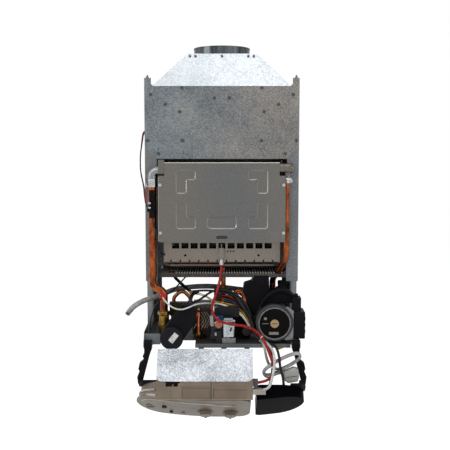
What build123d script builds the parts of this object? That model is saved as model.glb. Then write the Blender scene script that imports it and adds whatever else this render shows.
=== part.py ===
from build123d import *
from math import atan2, cos, degrees, radians, sin, tan
import os

os.makedirs("parts", exist_ok=True)

# Wall-hung gas boiler without its outer casing, control panel swung down.
# Millimetres. X to the right, -Y towards the user, Z up.
# The origin is the middle of the two wall-hanging holes, on the wall plane.

# Driving sizes
chassis_w = 390.0
chassis_top = 45.0
front_y = -225.0
sheet = 1.5
gap = 0.3
running = 0.05
screw_r = 4.0
screw_head = 2.6


def down(drop):
    """Height of a point that lies drop below the chassis top."""
    return chassis_top - drop


def block(x0, x1, y0, y1, z0, z1, mode=Mode.ADD):
    """Box between two corners."""
    with Locations(((x0 + x1) / 2, (y0 + y1) / 2, (z0 + z1) / 2)):
        Box(abs(x1 - x0), abs(y1 - y0), abs(z1 - z0), mode=mode)


def rod_x(x0, x1, y, z, r, mode=Mode.ADD):
    """Cylinder along X."""
    with Locations(Location(((x0 + x1) / 2, y, z), (0, 90, 0))):
        Cylinder(r, abs(x1 - x0), mode=mode)


def rod_y(x, y0, y1, z, r, mode=Mode.ADD):
    """Cylinder along Y."""
    with Locations(Location((x, (y0 + y1) / 2, z), (90, 0, 0))):
        Cylinder(r, abs(y1 - y0), mode=mode)


def rod_z(x, y, z0, z1, r, mode=Mode.ADD):
    """Upright cylinder."""
    with Locations((x, y, (z0 + z1) / 2)):
        Cylinder(r, abs(z1 - z0), mode=mode)


def hexagon_z(x, y, z0, z1, across_flats):
    """Upright hexagonal prism, for a nut."""
    with BuildSketch(Plane.XY.offset(z0)) as outline:
        with Locations((x, y)):
            RegularPolygon(across_flats / 2, 6, major_radius=False)
    extrude(outline.sketch, amount=z1 - z0)


def bend_radii(points, least):
    """Largest arc for each corner of a soft route: 0.45 of the shorter run."""
    corners = [Vector(*p) for p in points]
    radii = []
    for before, here, after in zip(corners, corners[1:], corners[2:]):
        run_in = here - before
        run_out = after - here
        turn = radians(run_in.get_angle(run_out))
        radius = 0.45 * min(run_in.length, run_out.length) / tan(turn / 2)
        radii.append(max(radius, least))
    return radii


def sweep_route(points, radii, r, bore=0):
    """Round rod or tube along straight runs joined by tangent arcs."""
    with BuildLine() as route:
        FilletPolyline(*points, radius=radii)
    with BuildSketch(Plane(origin=route.line @ 0, z_dir=route.line % 0)) as section:
        Circle(r)
        if bore:
            Circle(bore, mode=Mode.SUBTRACT)
    sweep(section.sketch, path=route.line)
    return sum(edge.length for edge in route.edges())


def save(piece, label):
    """Name a finished sub-part and write it."""
    piece.part.label = label
    export_step(piece.part, f"parts/{label}.step")


# Side panels: folded sheet uprights with flanges front and back
side_x = chassis_w / 2
side_in = side_x - sheet
panel_drop = 673.0
step_drop = 437.0
step_back = 33.0
flange_drop = 515.0
flange_w = 30.0
back_flange_w = 24.0
ear_h = 9.0
ear_x = 187.0
wire_hole = (-206.0, 130.5, 5.0)
lower_front_y = front_y + step_back
hood_notch_drop = 22.0
hood_notch_x = 178.0


def side_panel(side):
    """One upright; side is -1 for the left and 1 for the right."""
    with BuildPart() as panel:
        with BuildSketch(Plane.YZ.offset(side * side_x)):
            with BuildLine():
                Polyline(
                    (0, down(panel_drop)),
                    (0, chassis_top),
                    (front_y, chassis_top),
                    (front_y, down(step_drop)),
                    (lower_front_y, down(step_drop)),
                    (lower_front_y, down(panel_drop)),
                    close=True,
                )
            make_face()
        extrude(amount=-side * sheet)
        inner = side * (side_x - flange_w)
        block(side * side_in, inner, front_y, front_y + sheet, down(flange_drop), down(hood_notch_drop))
        block(side * side_in, side * hood_notch_x, front_y, front_y + sheet, down(hood_notch_drop), chassis_top)
        block(side * side_x, side * side_in, front_y, front_y + sheet, down(flange_drop), down(step_drop))
        block(side * side_in, side * (side_x - back_flange_w), 0, -sheet, down(panel_drop), chassis_top)
        with BuildSketch(Plane.XZ.offset(-front_y - sheet)):
            with BuildLine():
                Polyline(
                    (side * ear_x - 4.5, chassis_top),
                    (side * ear_x + 4.5, chassis_top),
                    (side * ear_x, chassis_top + ear_h),
                    close=True,
                )
            make_face()
        extrude(amount=sheet)
    return panel


side_panel_left = side_panel(-1)
side_panel_right = side_panel(1)
with side_panel_left:
    rod_x(-side_x - 1, -side_in + 1, wire_hole[0], down(wire_hole[1]), wire_hole[2], Mode.SUBTRACT)
save(side_panel_left, "side_panel_left")
save(side_panel_right, "side_panel_right")

# Hanging rail: channel across the top back, with the two wall holes
hang_spacing = 300.0
hang_hole_r = 5.0
rail_h = 50.0
rail_depth = 26.0
rail_x = side_x - back_flange_w - gap
rail_x_wide = side_in - gap
with BuildPart() as hanging_rail:
    block(-rail_x, rail_x, 0, -2 * sheet, -rail_h / 2, rail_h / 2)
    block(-rail_x_wide, rail_x_wide, -2 * sheet, -rail_depth, rail_h / 2 - sheet, rail_h / 2)
    block(-rail_x_wide, rail_x_wide, -2 * sheet, -rail_depth, -rail_h / 2, -rail_h / 2 + sheet)
    for x in (-hang_spacing / 2, hang_spacing / 2):
        rod_y(x, 1, -3 * sheet, 0, hang_hole_r, Mode.SUBTRACT)
save(hanging_rail, "hanging_rail")

# Back panel: heat shield sheet behind the combustion chamber
back_y = -46.0
back_drop = (60.0, 505.0)
with BuildPart() as back_panel:
    block(-side_in + gap, side_in - gap, back_y, back_y - sheet, down(back_drop[1]), down(back_drop[0]))
    for side in (-1, 1):
        edge = side * (side_in - gap)
        block(edge, edge - side * sheet, back_y, back_y + 20, down(back_drop[1]), down(back_drop[0]))
save(back_panel, "back_panel")

# Expansion vessel: flat rectangular steel vessel with rounded shells
vessel_w = 300.0
vessel_drop = (120.0, 490.0)
vessel_back = -4.0
vessel_t = back_y - vessel_back + 1.0
with BuildPart() as expansion_vessel:
    with BuildSketch(Plane.XZ.offset(-vessel_back)):
        with Locations((0, (down(vessel_drop[0]) + down(vessel_drop[1])) / 2)):
            RectangleRounded(vessel_w, vessel_drop[1] - vessel_drop[0], 45)
    extrude(amount=-vessel_t)
    rims = expansion_vessel.edges().filter_by(Plane.XZ)
    fillet(rims, 13)
    rim_y = vessel_back + vessel_t / 2
    with BuildSketch(Plane.XZ.offset(-rim_y - 1.5)):
        with Locations((0, (down(vessel_drop[0]) + down(vessel_drop[1])) / 2)):
            RectangleRounded(vessel_w + 8, vessel_drop[1] - vessel_drop[0] + 8, 49)
    extrude(amount=3)
    rod_z(60, rim_y, down(vessel_drop[1]) - 14, down(vessel_drop[1]) + 2, 9)
    for x in (-100, 100):
        strap_top = -rail_h / 2 - gap
        block(x - 12, x + 12, rim_y - 1, rim_y + 1, down(vessel_drop[0]) - 2, strap_top)
save(expansion_vessel, "expansion_vessel")

# Bottom plate: folded tray that carries the hydraulics
floor_drop = 663.0
floor_z = down(floor_drop)
floor_front = -290.0
floor_lip = 10.0
lip_x = (-67.0, 172.0)
motor_cut_x = (-154.0, -67.0)
motor_cut_y = -248.0
gusset_left_h = 30.0
gusset_right_h = 8.0
pivot_y = -300.0
pivot_z = down(660.0)
pivot_pin_r = 4.0
ear_r = 10.0
stub_x = (-104.0, -52.0, 5.0, 63.0, 136.0)
stub_y = (-120.0, -215.0, -225.0, -215.0, -120.0)
stub_r = (9.0, 9.0, 9.0, 9.0, 9.0)
stub_hole_clear = 1.0
with BuildPart() as bottom_plate:
    block(-side_in + gap, side_in - gap, -2 * sheet, lower_front_y, floor_z - sheet, floor_z)
    block(-side_x, side_x, lower_front_y - gap, floor_front, floor_z - sheet, floor_z)
    block(-side_in + gap, side_in - gap, lower_front_y, lower_front_y - gap, floor_z - sheet, floor_z)
    block(lip_x[0], lip_x[1], floor_front, floor_front + sheet, floor_z - floor_lip, floor_z)
    block(motor_cut_x[0], motor_cut_x[1], motor_cut_y, floor_front - 1, floor_z - 5, floor_z + 1, Mode.SUBTRACT)
    for side, height in ((-1, gusset_left_h), (1, gusset_right_h)):
        with BuildSketch(Plane.YZ.offset(side * side_x)):
            with BuildLine():
                Polyline(
                    (lower_front_y - gap, floor_z - floor_lip),
                    (lower_front_y - gap, floor_z + height),
                    (floor_front, floor_z + height),
                    (pivot_y, pivot_z + ear_r),
                    (pivot_y, floor_z - floor_lip),
                    close=True,
                )
            make_face()
        extrude(amount=-side * sheet)
        rod_x(side * side_x, side * side_in, pivot_y, pivot_z, ear_r)
        rod_x(side * side_in, side * (side_in - 21), pivot_y, pivot_z, pivot_pin_r)
    block(-side_in, motor_cut_x[0], floor_front, floor_front + sheet, floor_z, floor_z + gusset_left_h - 4)
    for x, y, r in zip(stub_x, stub_y, stub_r):
        rod_z(x, y, floor_z - 5, floor_z + 1, r + stub_hole_clear, Mode.SUBTRACT)
save(bottom_plate, "bottom_plate")

# Draught diverter plate: the large front sheet with clipped lower corners
plate_drop = 202.0
plate_clip = 31.0
plate_front = front_y - sheet
hood_w = (350.0, 178.0)
hood_drop = (20.0, -67.0)
plate_screws = (
    (100.5, 24.0),
    (179.0, 41.0),
    (142.5, 65.6),
    (106.0, 83.8),
    (18.7, 49.7),
    (100.0, 155.8),
    (188.0, 155.8),
    (160.0, 189.0),
)
with BuildPart() as diverter_plate:
    with BuildSketch(Plane.XZ.offset(-front_y)):
        with BuildLine():
            Polyline(
                (-side_x, chassis_top),
                (-hood_notch_x, chassis_top),
                (-hood_notch_x, down(hood_drop[0])),
                (hood_notch_x, down(hood_drop[0])),
                (hood_notch_x, chassis_top),
                (side_x, chassis_top),
                (side_x, down(plate_drop - plate_clip)),
                (side_x - plate_clip, down(plate_drop)),
                (-side_x + plate_clip, down(plate_drop)),
                (-side_x, down(plate_drop - plate_clip)),
                close=True,
            )
        make_face()
    extrude(amount=sheet)
    # Return flange along the lower edge
    bottom_x = side_x - plate_clip - gap
    block(-bottom_x + 5, bottom_x - 5, front_y, front_y + 12, down(plate_drop), down(plate_drop) + sheet)
save(diverter_plate, "diverter_plate")

# Flue hood: tapered sheet box over the diverter, open below
hood_lean = 60.0
hood_back_y = -14.0
hood_front_y = plate_front - sheet
collar_y = -91.0
collar_r = 74.0
collar_wall = 1.5
collar_top_drop = -88.0
flue_socket_r = collar_r - collar_wall


def hood_solid(inset):
    """Tapered box of the hood, drawn in by inset on its walls."""
    lower_mid = (hood_front_y + hood_back_y) / 2
    upper_front = hood_front_y + hood_lean
    upper_mid = (upper_front + hood_back_y) / 2
    with BuildSketch(Plane.XY.offset(down(hood_drop[0]))) as mouth:
        with Locations((0, lower_mid)):
            Rectangle(hood_w[0] - 2 * inset, hood_back_y - hood_front_y - 2 * inset)
    with BuildSketch(Plane.XY.offset(down(hood_drop[1]) - inset)) as crown:
        with Locations((0, upper_mid)):
            Rectangle(hood_w[1] - 2 * inset, hood_back_y - upper_front - 2 * inset)
    loft([mouth.sketch, crown.sketch])


with BuildPart(mode=Mode.PRIVATE) as hood_hollow:
    hood_solid(sheet)

with BuildPart() as flue_hood:
    hood_solid(0)
    add(hood_hollow.part, mode=Mode.SUBTRACT)
    top = down(hood_drop[1])
    rod_z(0, collar_y, top - 10, top + 10, flue_socket_r, Mode.SUBTRACT)
save(flue_hood, "flue_hood")

# Flue collar: short socket for the flue pipe with a rolled rim
with BuildPart() as flue_collar:
    top = down(collar_top_drop)
    base = down(hood_drop[1])
    rod_z(0, collar_y, base, top, collar_r)
    rod_z(0, collar_y, base, base + sheet, collar_r + 2)
    rod_z(0, collar_y, top - 3, top, collar_r + 1)
    rod_z(0, collar_y, base - 1, top + 1, flue_socket_r, Mode.SUBTRACT)
save(flue_collar, "flue_collar")

# Chamber cover: pressed sheet tray over the combustion chamber
cover_x = 160.0
cover_drop = (211.0, 411.0)
cover_y = -252.0
cover_wall_x = 149.8
cover_t = 1.2
chamber_front = -222.0
burner_y = -222.0
notch_w = 15.5
notch_h = 33.0
press_depth = 2.0
sight_w = 29.0
sight_h = 8.0
sight_drop = 399.0
cover_screws = ((155.0, 267.0), (155.0, 388.0))
pillar_x = 152.0


def pressed_panels(grow, depth_from, depth_to, mode):
    """The five pressed areas of the cover, between two depths behind its face."""
    with BuildSketch(Plane.XZ.offset(-cover_y - depth_from)) as pressing:
        for side in (-1, 1):
            with BuildLine():
                Polyline(
                    (side * (116 + grow), down(229 - grow)),
                    (side * (65.5 - grow), down(229 - grow)),
                    (side * (65.5 - grow), down(255 + grow)),
                    (side * (88 - grow), down(255 + grow)),
                    (side * (88 - grow), down(289 + grow)),
                    (side * (116 + grow), down(289 + grow)),
                    close=True,
                )
            make_face()
            with BuildLine():
                Polyline(
                    (side * (116 + grow), down(312 - grow)),
                    (side * (88 - grow), down(312 - grow)),
                    (side * (88 - grow), down(347 - grow)),
                    (side * (65.5 - grow), down(347 - grow)),
                    (side * (65.5 - grow), down(378 + grow)),
                    (side * (116 + grow), down(378 + grow)),
                    close=True,
                )
            make_face()
        with Locations((0, (down(347) + down(378)) / 2)):
            Rectangle(76 + 2 * grow, 31 + 2 * grow)
        lowest = pressing.vertices().group_by(Axis.Z)[0]
        fillet(lowest, 8 + grow)
    extrude(pressing.sketch, amount=depth_from - depth_to, mode=mode)


with BuildPart() as chamber_cover:
    block(-cover_x, cover_x, cover_y, cover_y + cover_t, down(cover_drop[1]), down(cover_drop[0]))
    for side in (-1, 1):
        block(
            side * cover_wall_x,
            side * (cover_wall_x - cover_t),
            cover_y,
            chamber_front - gap,
            down(cover_drop[1]),
            down(cover_drop[0]) - notch_h,
        )
    block(
        -cover_wall_x,
        cover_wall_x,
        cover_y,
        burner_y - gap,
        down(cover_drop[1]),
        down(cover_drop[1]) + cover_t,
    )
    notch_x = cover_x - notch_w
    block(-notch_x, notch_x, cover_y, chamber_front, down(cover_drop[0]) - cover_t, down(cover_drop[0]))
    for side in (-1, 1):
        block(
            side * (cover_x + 1),
            side * notch_x,
            cover_y - 1,
            front_y,
            down(cover_drop[0]) - notch_h,
            down(cover_drop[0]) + 1,
            Mode.SUBTRACT,
        )
    pressed_panels(cover_t, cover_t, cover_t + press_depth, Mode.ADD)
    pressed_panels(0, 0, press_depth, Mode.SUBTRACT)
    with BuildSketch(Plane.XZ.offset(-cover_y + 1)):
        with Locations((0, down(sight_drop))):
            SlotOverall(sight_w, sight_h)
    extrude(amount=-10, mode=Mode.SUBTRACT)
    # Spacers behind the screws, standing on the chamber brackets
    for x, drop in cover_screws:
        for side in (-1, 1):
            rod_y(side * pillar_x, cover_y + cover_t, front_y + sheet, down(drop), 2.5)
save(chamber_cover, "chamber_cover")

# Sight glass behind the slot, for watching the flame
with BuildPart() as sight_glass:
    block(
        -sight_w / 2 - 4,
        sight_w / 2 + 4,
        cover_y + cover_t,
        cover_y + cover_t + 2,
        down(sight_drop) - sight_h / 2 - 2,
        down(sight_drop) + sight_h / 2 + 4,
    )
save(sight_glass, "sight_glass")

# Self-tapping screws of the sheet metal, all alike
hood_screw_x = (0.0, 68.0, 82.0)
hood_screw_drop = -60.0
with BuildPart() as sheet_screws:
    for x, drop in plate_screws:
        for side in (-1, 1):
            rod_y(side * x, plate_front, plate_front - screw_head, down(drop), screw_r)
    for x, drop in cover_screws:
        for side in (-1, 1):
            rod_y(side * x, cover_y, cover_y - screw_head, down(drop), screw_r)
    lean_run = hood_drop[0] - hood_screw_drop
    lean = hood_lean * lean_run / (hood_drop[0] - hood_drop[1])
    lean_angle = degrees(atan2(hood_drop[0] - hood_drop[1], hood_lean))
    for x in hood_screw_x:
        for side in (-1, 1) if x else (1,):
            spot = (side * x, hood_front_y + lean, down(hood_screw_drop))
            with Locations(Location(spot, (lean_angle, 0, 0))):
                with Locations((0, 0, screw_head / 2 + 0.02)):
                    Cylinder(screw_r * 0.8, screw_head)
save(sheet_screws, "sheet_screws")

# Combustion chamber: sheet steel shell lined with ceramic fibre board
chamber_x = 152.0
chamber_back = -62.0
chamber_drop = (206.0, 412.0)
lining = 14.0
with BuildPart() as chamber_shell:
    block(-chamber_x, chamber_x, chamber_back, chamber_front, down(chamber_drop[1]), down(chamber_drop[0]))
    block(
        -chamber_x + sheet,
        chamber_x - sheet,
        chamber_back - sheet,
        chamber_front - 1,
        down(chamber_drop[1]) - 1,
        down(chamber_drop[0]) + 1,
        Mode.SUBTRACT,
    )
    # Brackets that carry the chamber from the back panel and the side flanges
    for side in (-1, 1):
        for drop in (230, 390):
            block(side * 100, side * 124, back_y - sheet, chamber_back, down(drop) - 10, down(drop) + 10)
        block(
            side * (chamber_x - sheet),
            side * (side_x - flange_w + 4),
            front_y + sheet,
            front_y + 2 * sheet,
            down(258),
            down(chamber_drop[1]),
        )
save(chamber_shell, "chamber_shell")

lining_drop = 292.0
with BuildPart() as chamber_insulation:
    x_out = chamber_x - sheet
    z_low = down(chamber_drop[1] - 3)
    block(-x_out, x_out, chamber_back - sheet, chamber_back - sheet - lining, z_low, down(lining_drop))
    for side in (-1, 1):
        block(
            side * x_out,
            side * (x_out - lining),
            chamber_back - sheet - lining,
            chamber_front + 4,
            z_low,
            down(lining_drop),
        )
save(chamber_insulation, "chamber_insulation")

# Heat exchanger: finned block with the end tubes that leave at the front corners
fin_x = 132.0
fin_back = -74.0
fin_front = -212.0
fin_drop = (214.0, 286.0)
fin_pitch = 6.0
fin_t = 1.2
fin_count = 44
water_tube_r = 9.0
header_drop = 231.0
elbow_y = -238.5
stub_bore = 7.0
port_x = 141.0
with BuildPart() as heat_exchanger:
    fin_z0 = down(fin_drop[1])
    fin_z1 = down(fin_drop[0])
    for i in range(fin_count + 1):
        x = -fin_x + i * fin_pitch
        block(x - fin_t / 2, x + fin_t / 2, fin_back, fin_front, fin_z0, fin_z1)
    for y in (-95.0, -127.0, -159.0, -191.0):
        rod_x(-fin_x - 8, fin_x + 8, y, (fin_z0 + fin_z1) / 2, water_tube_r)
    for side in (-1, 1):
        block(
            side * (fin_x + 6),
            side * (fin_x + 18),
            fin_back - 8,
            fin_front + 6,
            (fin_z0 + fin_z1) / 2 - 13,
            down(header_drop) + stub_bore + 2,
        )
save(heat_exchanger, "heat_exchanger")

# Burner front plate with its row of air windows
burner_x = 149.0
burner_drop = (412.5, 467.0)
window_w = 18.2
window_h = 14.4
window_pitch = 23.7
window_count = 11
window_below_top = 11.5
window_drop = burner_drop[0] + window_below_top
with BuildPart() as burner_front:
    block(-burner_x, burner_x, burner_y, burner_y + sheet, down(burner_drop[1]), down(burner_drop[0]))
    for side in (-1, 1):
        block(
            side * burner_x,
            side * (burner_x - sheet),
            burner_y,
            burner_y + 130,
            down(burner_drop[1]),
            down(burner_drop[0]),
        )
    block(-burner_x, burner_x, burner_y, burner_y + 12, down(burner_drop[1]), down(burner_drop[1]) + sheet)
    # Tabs that hang the plate on the chamber brackets
    for side in (-1, 1):
        tab_low = down(burner_drop[0] + 10)
        block(side * 146, side * 149, burner_y, burner_y + 12, tab_low, down(chamber_drop[1]))
    for i in range(window_count):
        x = (i - (window_count - 1) / 2) * window_pitch
        block(
            x - window_w / 2,
            x + window_w / 2,
            burner_y - 1,
            burner_y + 4,
            down(window_drop) - window_h / 2,
            down(window_drop) + window_h / 2,
            Mode.SUBTRACT,
        )
    for x in (15.2, 22.6, 30.0):
        rod_y(x, burner_y - 1, burner_y + 3, down(438), 2, Mode.SUBTRACT)
    for x in (-94.0, 94.0):
        rod_y(x, burner_y - 1, burner_y + 3, down(448.5), 3, Mode.SUBTRACT)
    for i in range(window_count + 1):
        x = (i - window_count / 2) * window_pitch
        block(x - 2, x + 2, burner_y - 1, burner_y + 3, down(burner_drop[1]) - 1, down(460), Mode.SUBTRACT)
save(burner_front, "burner_front")

# Burner: a row of blade burners on one rack
blade_t = 9.0
blade_drop = (416.0, 452.0)
blade_y = (-206.0, -84.0)
with BuildPart() as burner_blades:
    for i in range(window_count):
        x = (i - (window_count - 1) / 2) * window_pitch
        block(
            x - blade_t / 2,
            x + blade_t / 2,
            blade_y[0],
            blade_y[1],
            down(blade_drop[1]),
            down(blade_drop[0]),
        )
    tops = burner_blades.edges().filter_by(Axis.Y).group_by(Axis.Z)[-1]
    fillet(tops, 3)
    for i in range(window_count):
        x = (i - (window_count - 1) / 2) * window_pitch
        rod_z(x, (blade_y[0] + blade_y[1]) / 2 - 28, down(burner_drop[1] - 3), down(blade_drop[1] - 2), 4.4)
    # Cross rails that hold the blades and rest on the side walls of the front plate
    for y in (-180.0, -110.0):
        rail_half = burner_x - sheet
        block(-rail_half, rail_half, y - 3, y + 3, down(446), down(438))
save(burner_blades, "burner_blades")

# Gas manifold: rail with one injector below each blade
manifold_y = (blade_y[0] + blade_y[1]) / 2 - 28
manifold_r = 8.0
manifold_below_burner = 13.0
manifold_drop = burner_drop[1] + manifold_below_burner
injector_drop = burner_drop[1] - 3.0
gas_x = 4.0
with BuildPart() as gas_manifold:
    rod_x(-135, 135, manifold_y, down(manifold_drop), manifold_r)
    for i in range(window_count):
        x = (i - (window_count - 1) / 2) * window_pitch
        rod_z(x, manifold_y, down(manifold_drop), down(injector_drop) - gap, 3.2)
    for side in (-1, 1):
        block(
            side * 135,
            side * (burner_x - sheet),
            manifold_y - 7,
            manifold_y + 7,
            down(manifold_drop) - 1,
            down(manifold_drop) + 1,
        )
        block(
            side * (burner_x - sheet - 1.5),
            side * (burner_x - sheet),
            manifold_y - 7,
            manifold_y + 7,
            down(manifold_drop) - 1,
            down(burner_drop[1] - 12),
        )
save(gas_manifold, "gas_manifold")

# Slotted air tray under the burner
tray_x = 161.5
tray_drop = 497.0
tray_back = -54.0
tray_front = -222.0
tray_lip = 8.6
slot_count = 30
slot_pitch = 9.4
slot_w = 4.6
slot_rows = ((-206.0, -158.0), (-116.0, -68.0))
gas_pipe_r = 6.3
with BuildPart() as air_tray:
    z = down(tray_drop)
    block(-tray_x, tray_x, tray_back, tray_front, z - 1.2, z)
    block(-tray_x, tray_x, tray_front, tray_front + 1.2, z - tray_lip, z)
    for side in (-1, 1):
        block(side * tray_x, side * (tray_x - 1.2), tray_back, tray_front, z - tray_lip, z)
        # Ears that screw the tray to the side flanges
        block(
            side * (tray_x - 1.2),
            side * (tray_x + 18),
            front_y + sheet,
            tray_front + 1.2,
            z - tray_lip,
            z + 8,
        )
    block(-tray_x, tray_x, tray_back, tray_back - 1.2, z, z + 8)
    block(-tray_x, tray_x, back_y - sheet, tray_back, z + 6.8, z + 8)
    with BuildSketch(Plane.XY.offset(z + 1)):
        for low, high in slot_rows:
            with Locations((0, (low + high) / 2)):
                with GridLocations(slot_pitch, 1, slot_count, 1):
                    Rectangle(slot_w, high - low)
    extrude(amount=-4, mode=Mode.SUBTRACT)
    rod_z(gas_x, manifold_y, z - 5, z + 5, gas_pipe_r + 2, Mode.SUBTRACT)
    rod_z(143, -202, z - 5, z + 5, 15, Mode.SUBTRACT)
save(air_tray, "air_tray")

# Ignition electrode: ceramic body in front of the middle window
electrode_y = burner_y - 7.0
electrode_drop = (419.0, 470.0)
with BuildPart() as ignition_electrode:
    rod_z(-1, electrode_y, down(electrode_drop[1]), down(434), 4.2)
    rod_z(-1, electrode_y, down(436), down(electrode_drop[0]), 1.4)
    rod_z(-1, electrode_y, down(electrode_drop[1]) - 2, down(electrode_drop[1]) + 6, 5.6)
    block(-8, 6, burner_y, burner_y - 1.2, down(452), down(440))
    block(-4, 2, burner_y, electrode_y, down(448), down(444))
save(ignition_electrode, "ignition_electrode")

# Flow elbow: cast fitting from the exchanger's left end, turning down
pipe_r = 10.0
flow_x = -176.0
return_x = 163.0
elbow_r = 11.5
with BuildPart() as flow_elbow:
    sweep_route(
        [
            (-fin_x - 1, elbow_y, down(header_drop)),
            (flow_x, elbow_y, down(header_drop)),
            (flow_x, elbow_y, down(253)),
        ],
        [14.0],
        elbow_r,
    )
    rod_z(flow_x, elbow_y, down(250), down(245), elbow_r + 1.5)
    rod_y(-port_x, elbow_y, fin_front + 6, down(header_drop), stub_bore)
save(flow_elbow, "flow_elbow")

with BuildPart() as return_elbow:
    sweep_route(
        [
            (fin_x + 1, elbow_y, down(header_drop)),
            (return_x, elbow_y, down(header_drop)),
            (return_x, elbow_y, down(257)),
        ],
        [13.0],
        elbow_r,
    )
    rod_y(port_x, elbow_y, fin_front + 6, down(header_drop), stub_bore)
    rod_z(return_x, elbow_y, down(257), down(262), elbow_r + 0.5)
save(return_elbow, "return_elbow")

# Union nuts of the pipes
nut_flats = 27.0
riser_x = 133.0
riser_y = -180.0
group_x = -148.0
with BuildPart() as union_nuts:
    hexagon_z(flow_x, elbow_y, down(272), down(253), nut_flats)
    rod_z(flow_x, elbow_y, down(273), down(252), pipe_r, Mode.SUBTRACT)
    hexagon_z(group_x, elbow_y, down(606), down(591), nut_flats - 4)
    rod_z(group_x, elbow_y, down(607), down(590), pipe_r, Mode.SUBTRACT)
    hexagon_z(riser_x, riser_y, down(554), down(541), nut_flats - 4)
    rod_z(riser_x, riser_y, down(555), down(540), 8, Mode.SUBTRACT)
save(union_nuts, "union_nuts")

# Flow pipe: copper, down the left side and in to the flow group
flow_route = [
    (flow_x, elbow_y, down(253)),
    (flow_x, elbow_y, down(526)),
    (group_x, elbow_y, down(540)),
    (group_x, elbow_y, down(606)),
]
with BuildPart() as flow_pipe:
    sweep_route(flow_route, [18.0, 18.0], pipe_r)
save(flow_pipe, "flow_pipe")

# Return pipe: copper, down the right side, then back to the riser above the pump
return_route = [
    (return_x, elbow_y, down(262)),
    (return_x, elbow_y, down(455)),
    (148.0, -214.0, down(487)),
    (riser_x, riser_y, down(516)),
    (riser_x, riser_y, down(554)),
]
return_pipe_r = 8.0
with BuildPart() as return_pipe:
    sweep_route(return_route, [30.0, 30.0, 20.0], return_pipe_r)
save(return_pipe, "return_pipe")

# Gas pipe: copper, from the valve up through the air tray to the manifold
valve_x = (-27.0, 33.0)
valve_y = (-270.0, -185.0)
valve_top = 598.0
valve_gas_y = -200.0
gas_route = [
    (gas_x, manifold_y, down(manifold_drop) - manifold_r),
    (gas_x, manifold_y, down(valve_top - 53)),
    (gas_x, valve_gas_y, down(valve_top - 26)),
    (gas_x, valve_gas_y, down(valve_top)),
]
with BuildPart() as gas_pipe:
    sweep_route(gas_route, [14.0, 14.0], gas_pipe_r)
save(gas_pipe, "gas_pipe")

# Small copper pipes: two U-bends over the plate exchanger, and the bypass with its cone
water_pipe_r = 5.0
bypass_x = -60.0
bypass_y = -240.0
bypass_pipe_r = 5.5
bypass_drop = (594.0, 648.0)
with BuildPart() as water_pipes:
    sweep_route(
        [
            (-128.0, -160.0, down(616)),
            (-128.0, -160.0, down(570)),
            (-106.0, -160.0, down(548)),
            (-84.0, -160.0, down(570)),
            (-84.0, -160.0, down(587)),
        ],
        [16.0, 15.0, 16.0],
        water_pipe_r,
    )
    sweep_route(
        [
            (27.0, -160.0, floor_z),
            (27.0, -160.0, down(572)),
            (41.0, -168.0, down(549)),
            (60.0, -180.0, down(565)),
            (68.0, -186.0, down(600)),
            (68.0, -186.0, floor_z),
        ],
        [20.0, 16.0, 20.0, 40.0],
        water_pipe_r,
    )
    # Compression rings and soldered feet
    rod_z(-128, -160, down(616), down(606), water_pipe_r + 3)
    rod_z(-84, -160, down(587), down(579), water_pipe_r + 3)
    for x, y in ((27, -160), (68, -186)):
        rod_z(x, y, floor_z, floor_z + 8, water_pipe_r + 3.5)
    sweep_route(
        [
            (bypass_x, -207.0, down(bypass_drop[0])),
            (bypass_x, bypass_y, down(bypass_drop[0])),
            (bypass_x, bypass_y, down(bypass_drop[1])),
        ],
        [12.0],
        bypass_pipe_r,
    )
    cone_h = down(bypass_drop[1]) - floor_z
    with Locations(Location((bypass_x, bypass_y, floor_z + cone_h / 2), (180, 0, 0))):
        Cone(8, 5, cone_h)
save(water_pipes, "water_pipes")

# Brass flow group: tee body below the flow pipe with the diverter valve seat
group_r = 13.0
motor_axis = (-124.0, down(643))
motor_back = -262.0
spindle_r = 3.0
with BuildPart() as flow_group:
    rod_z(group_x, elbow_y, down(606), floor_z, group_r)
    rod_z(group_x, elbow_y, down(625), down(618), group_r + 2)
    rod_x(group_x, -100, -232, motor_axis[1], 12)
    rod_y(motor_axis[0], -250, -205, motor_axis[1], 13)
    rod_y(-128, -215, -160, motor_axis[1], 10)
    rod_z(-128, -160, motor_axis[1] - 10, down(616), 8)
    rod_z(stub_x[0], stub_y[0], floor_z, floor_z + 12, 11)
    block(-136, -96, -166, -112, floor_z, floor_z + 11)
    rod_y(motor_axis[0], -251, -225, motor_axis[1], spindle_r + running, Mode.SUBTRACT)
save(flow_group, "flow_group")

# Diverter spindle: pushed in by the motor against the valve spring
with BuildPart() as diverter_spindle:
    rod_y(motor_axis[0], motor_back + 0.4, -234, motor_axis[1], spindle_r)
save(diverter_spindle, "diverter_spindle")

# Diverter motor: moulded housing, round over the spindle and leaning up to the right
motor_front = -304.0
motor_r = 27.0
with BuildPart() as diverter_motor:
    with BuildSketch(Plane.XZ.offset(-motor_back)):
        with BuildLine():
            Polyline(
                (-147, down(627)),
                (-98, down(563)),
                (-66, down(568)),
                (-62, down(588)),
                (-74, down(620)),
                (-100, down(655)),
                (-124, down(665)),
                close=True,
            )
        make_face()
    extrude(amount=motor_back - motor_front - 6)
    edges = diverter_motor.edges().filter_by(Axis.Y)
    fillet(edges, 5)
    rod_y(motor_axis[0], motor_back, motor_front + 3, motor_axis[1], motor_r)
    rod_y(motor_axis[0], motor_back, motor_front, motor_axis[1], motor_r - 4)
    fronts = diverter_motor.edges().filter_by(GeomType.CIRCLE).group_by(Axis.Y)[0]
    fillet(fronts, 1.2)
    rod_y(motor_axis[0], motor_back, -250, motor_axis[1], 16)
    rod_y(motor_axis[0], -285, -249, motor_axis[1], spindle_r + running, Mode.SUBTRACT)
    rod_y(motor_axis[0], -285, motor_back + 0.4, motor_axis[1], 6, Mode.SUBTRACT)
save(diverter_motor, "diverter_motor")

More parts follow.
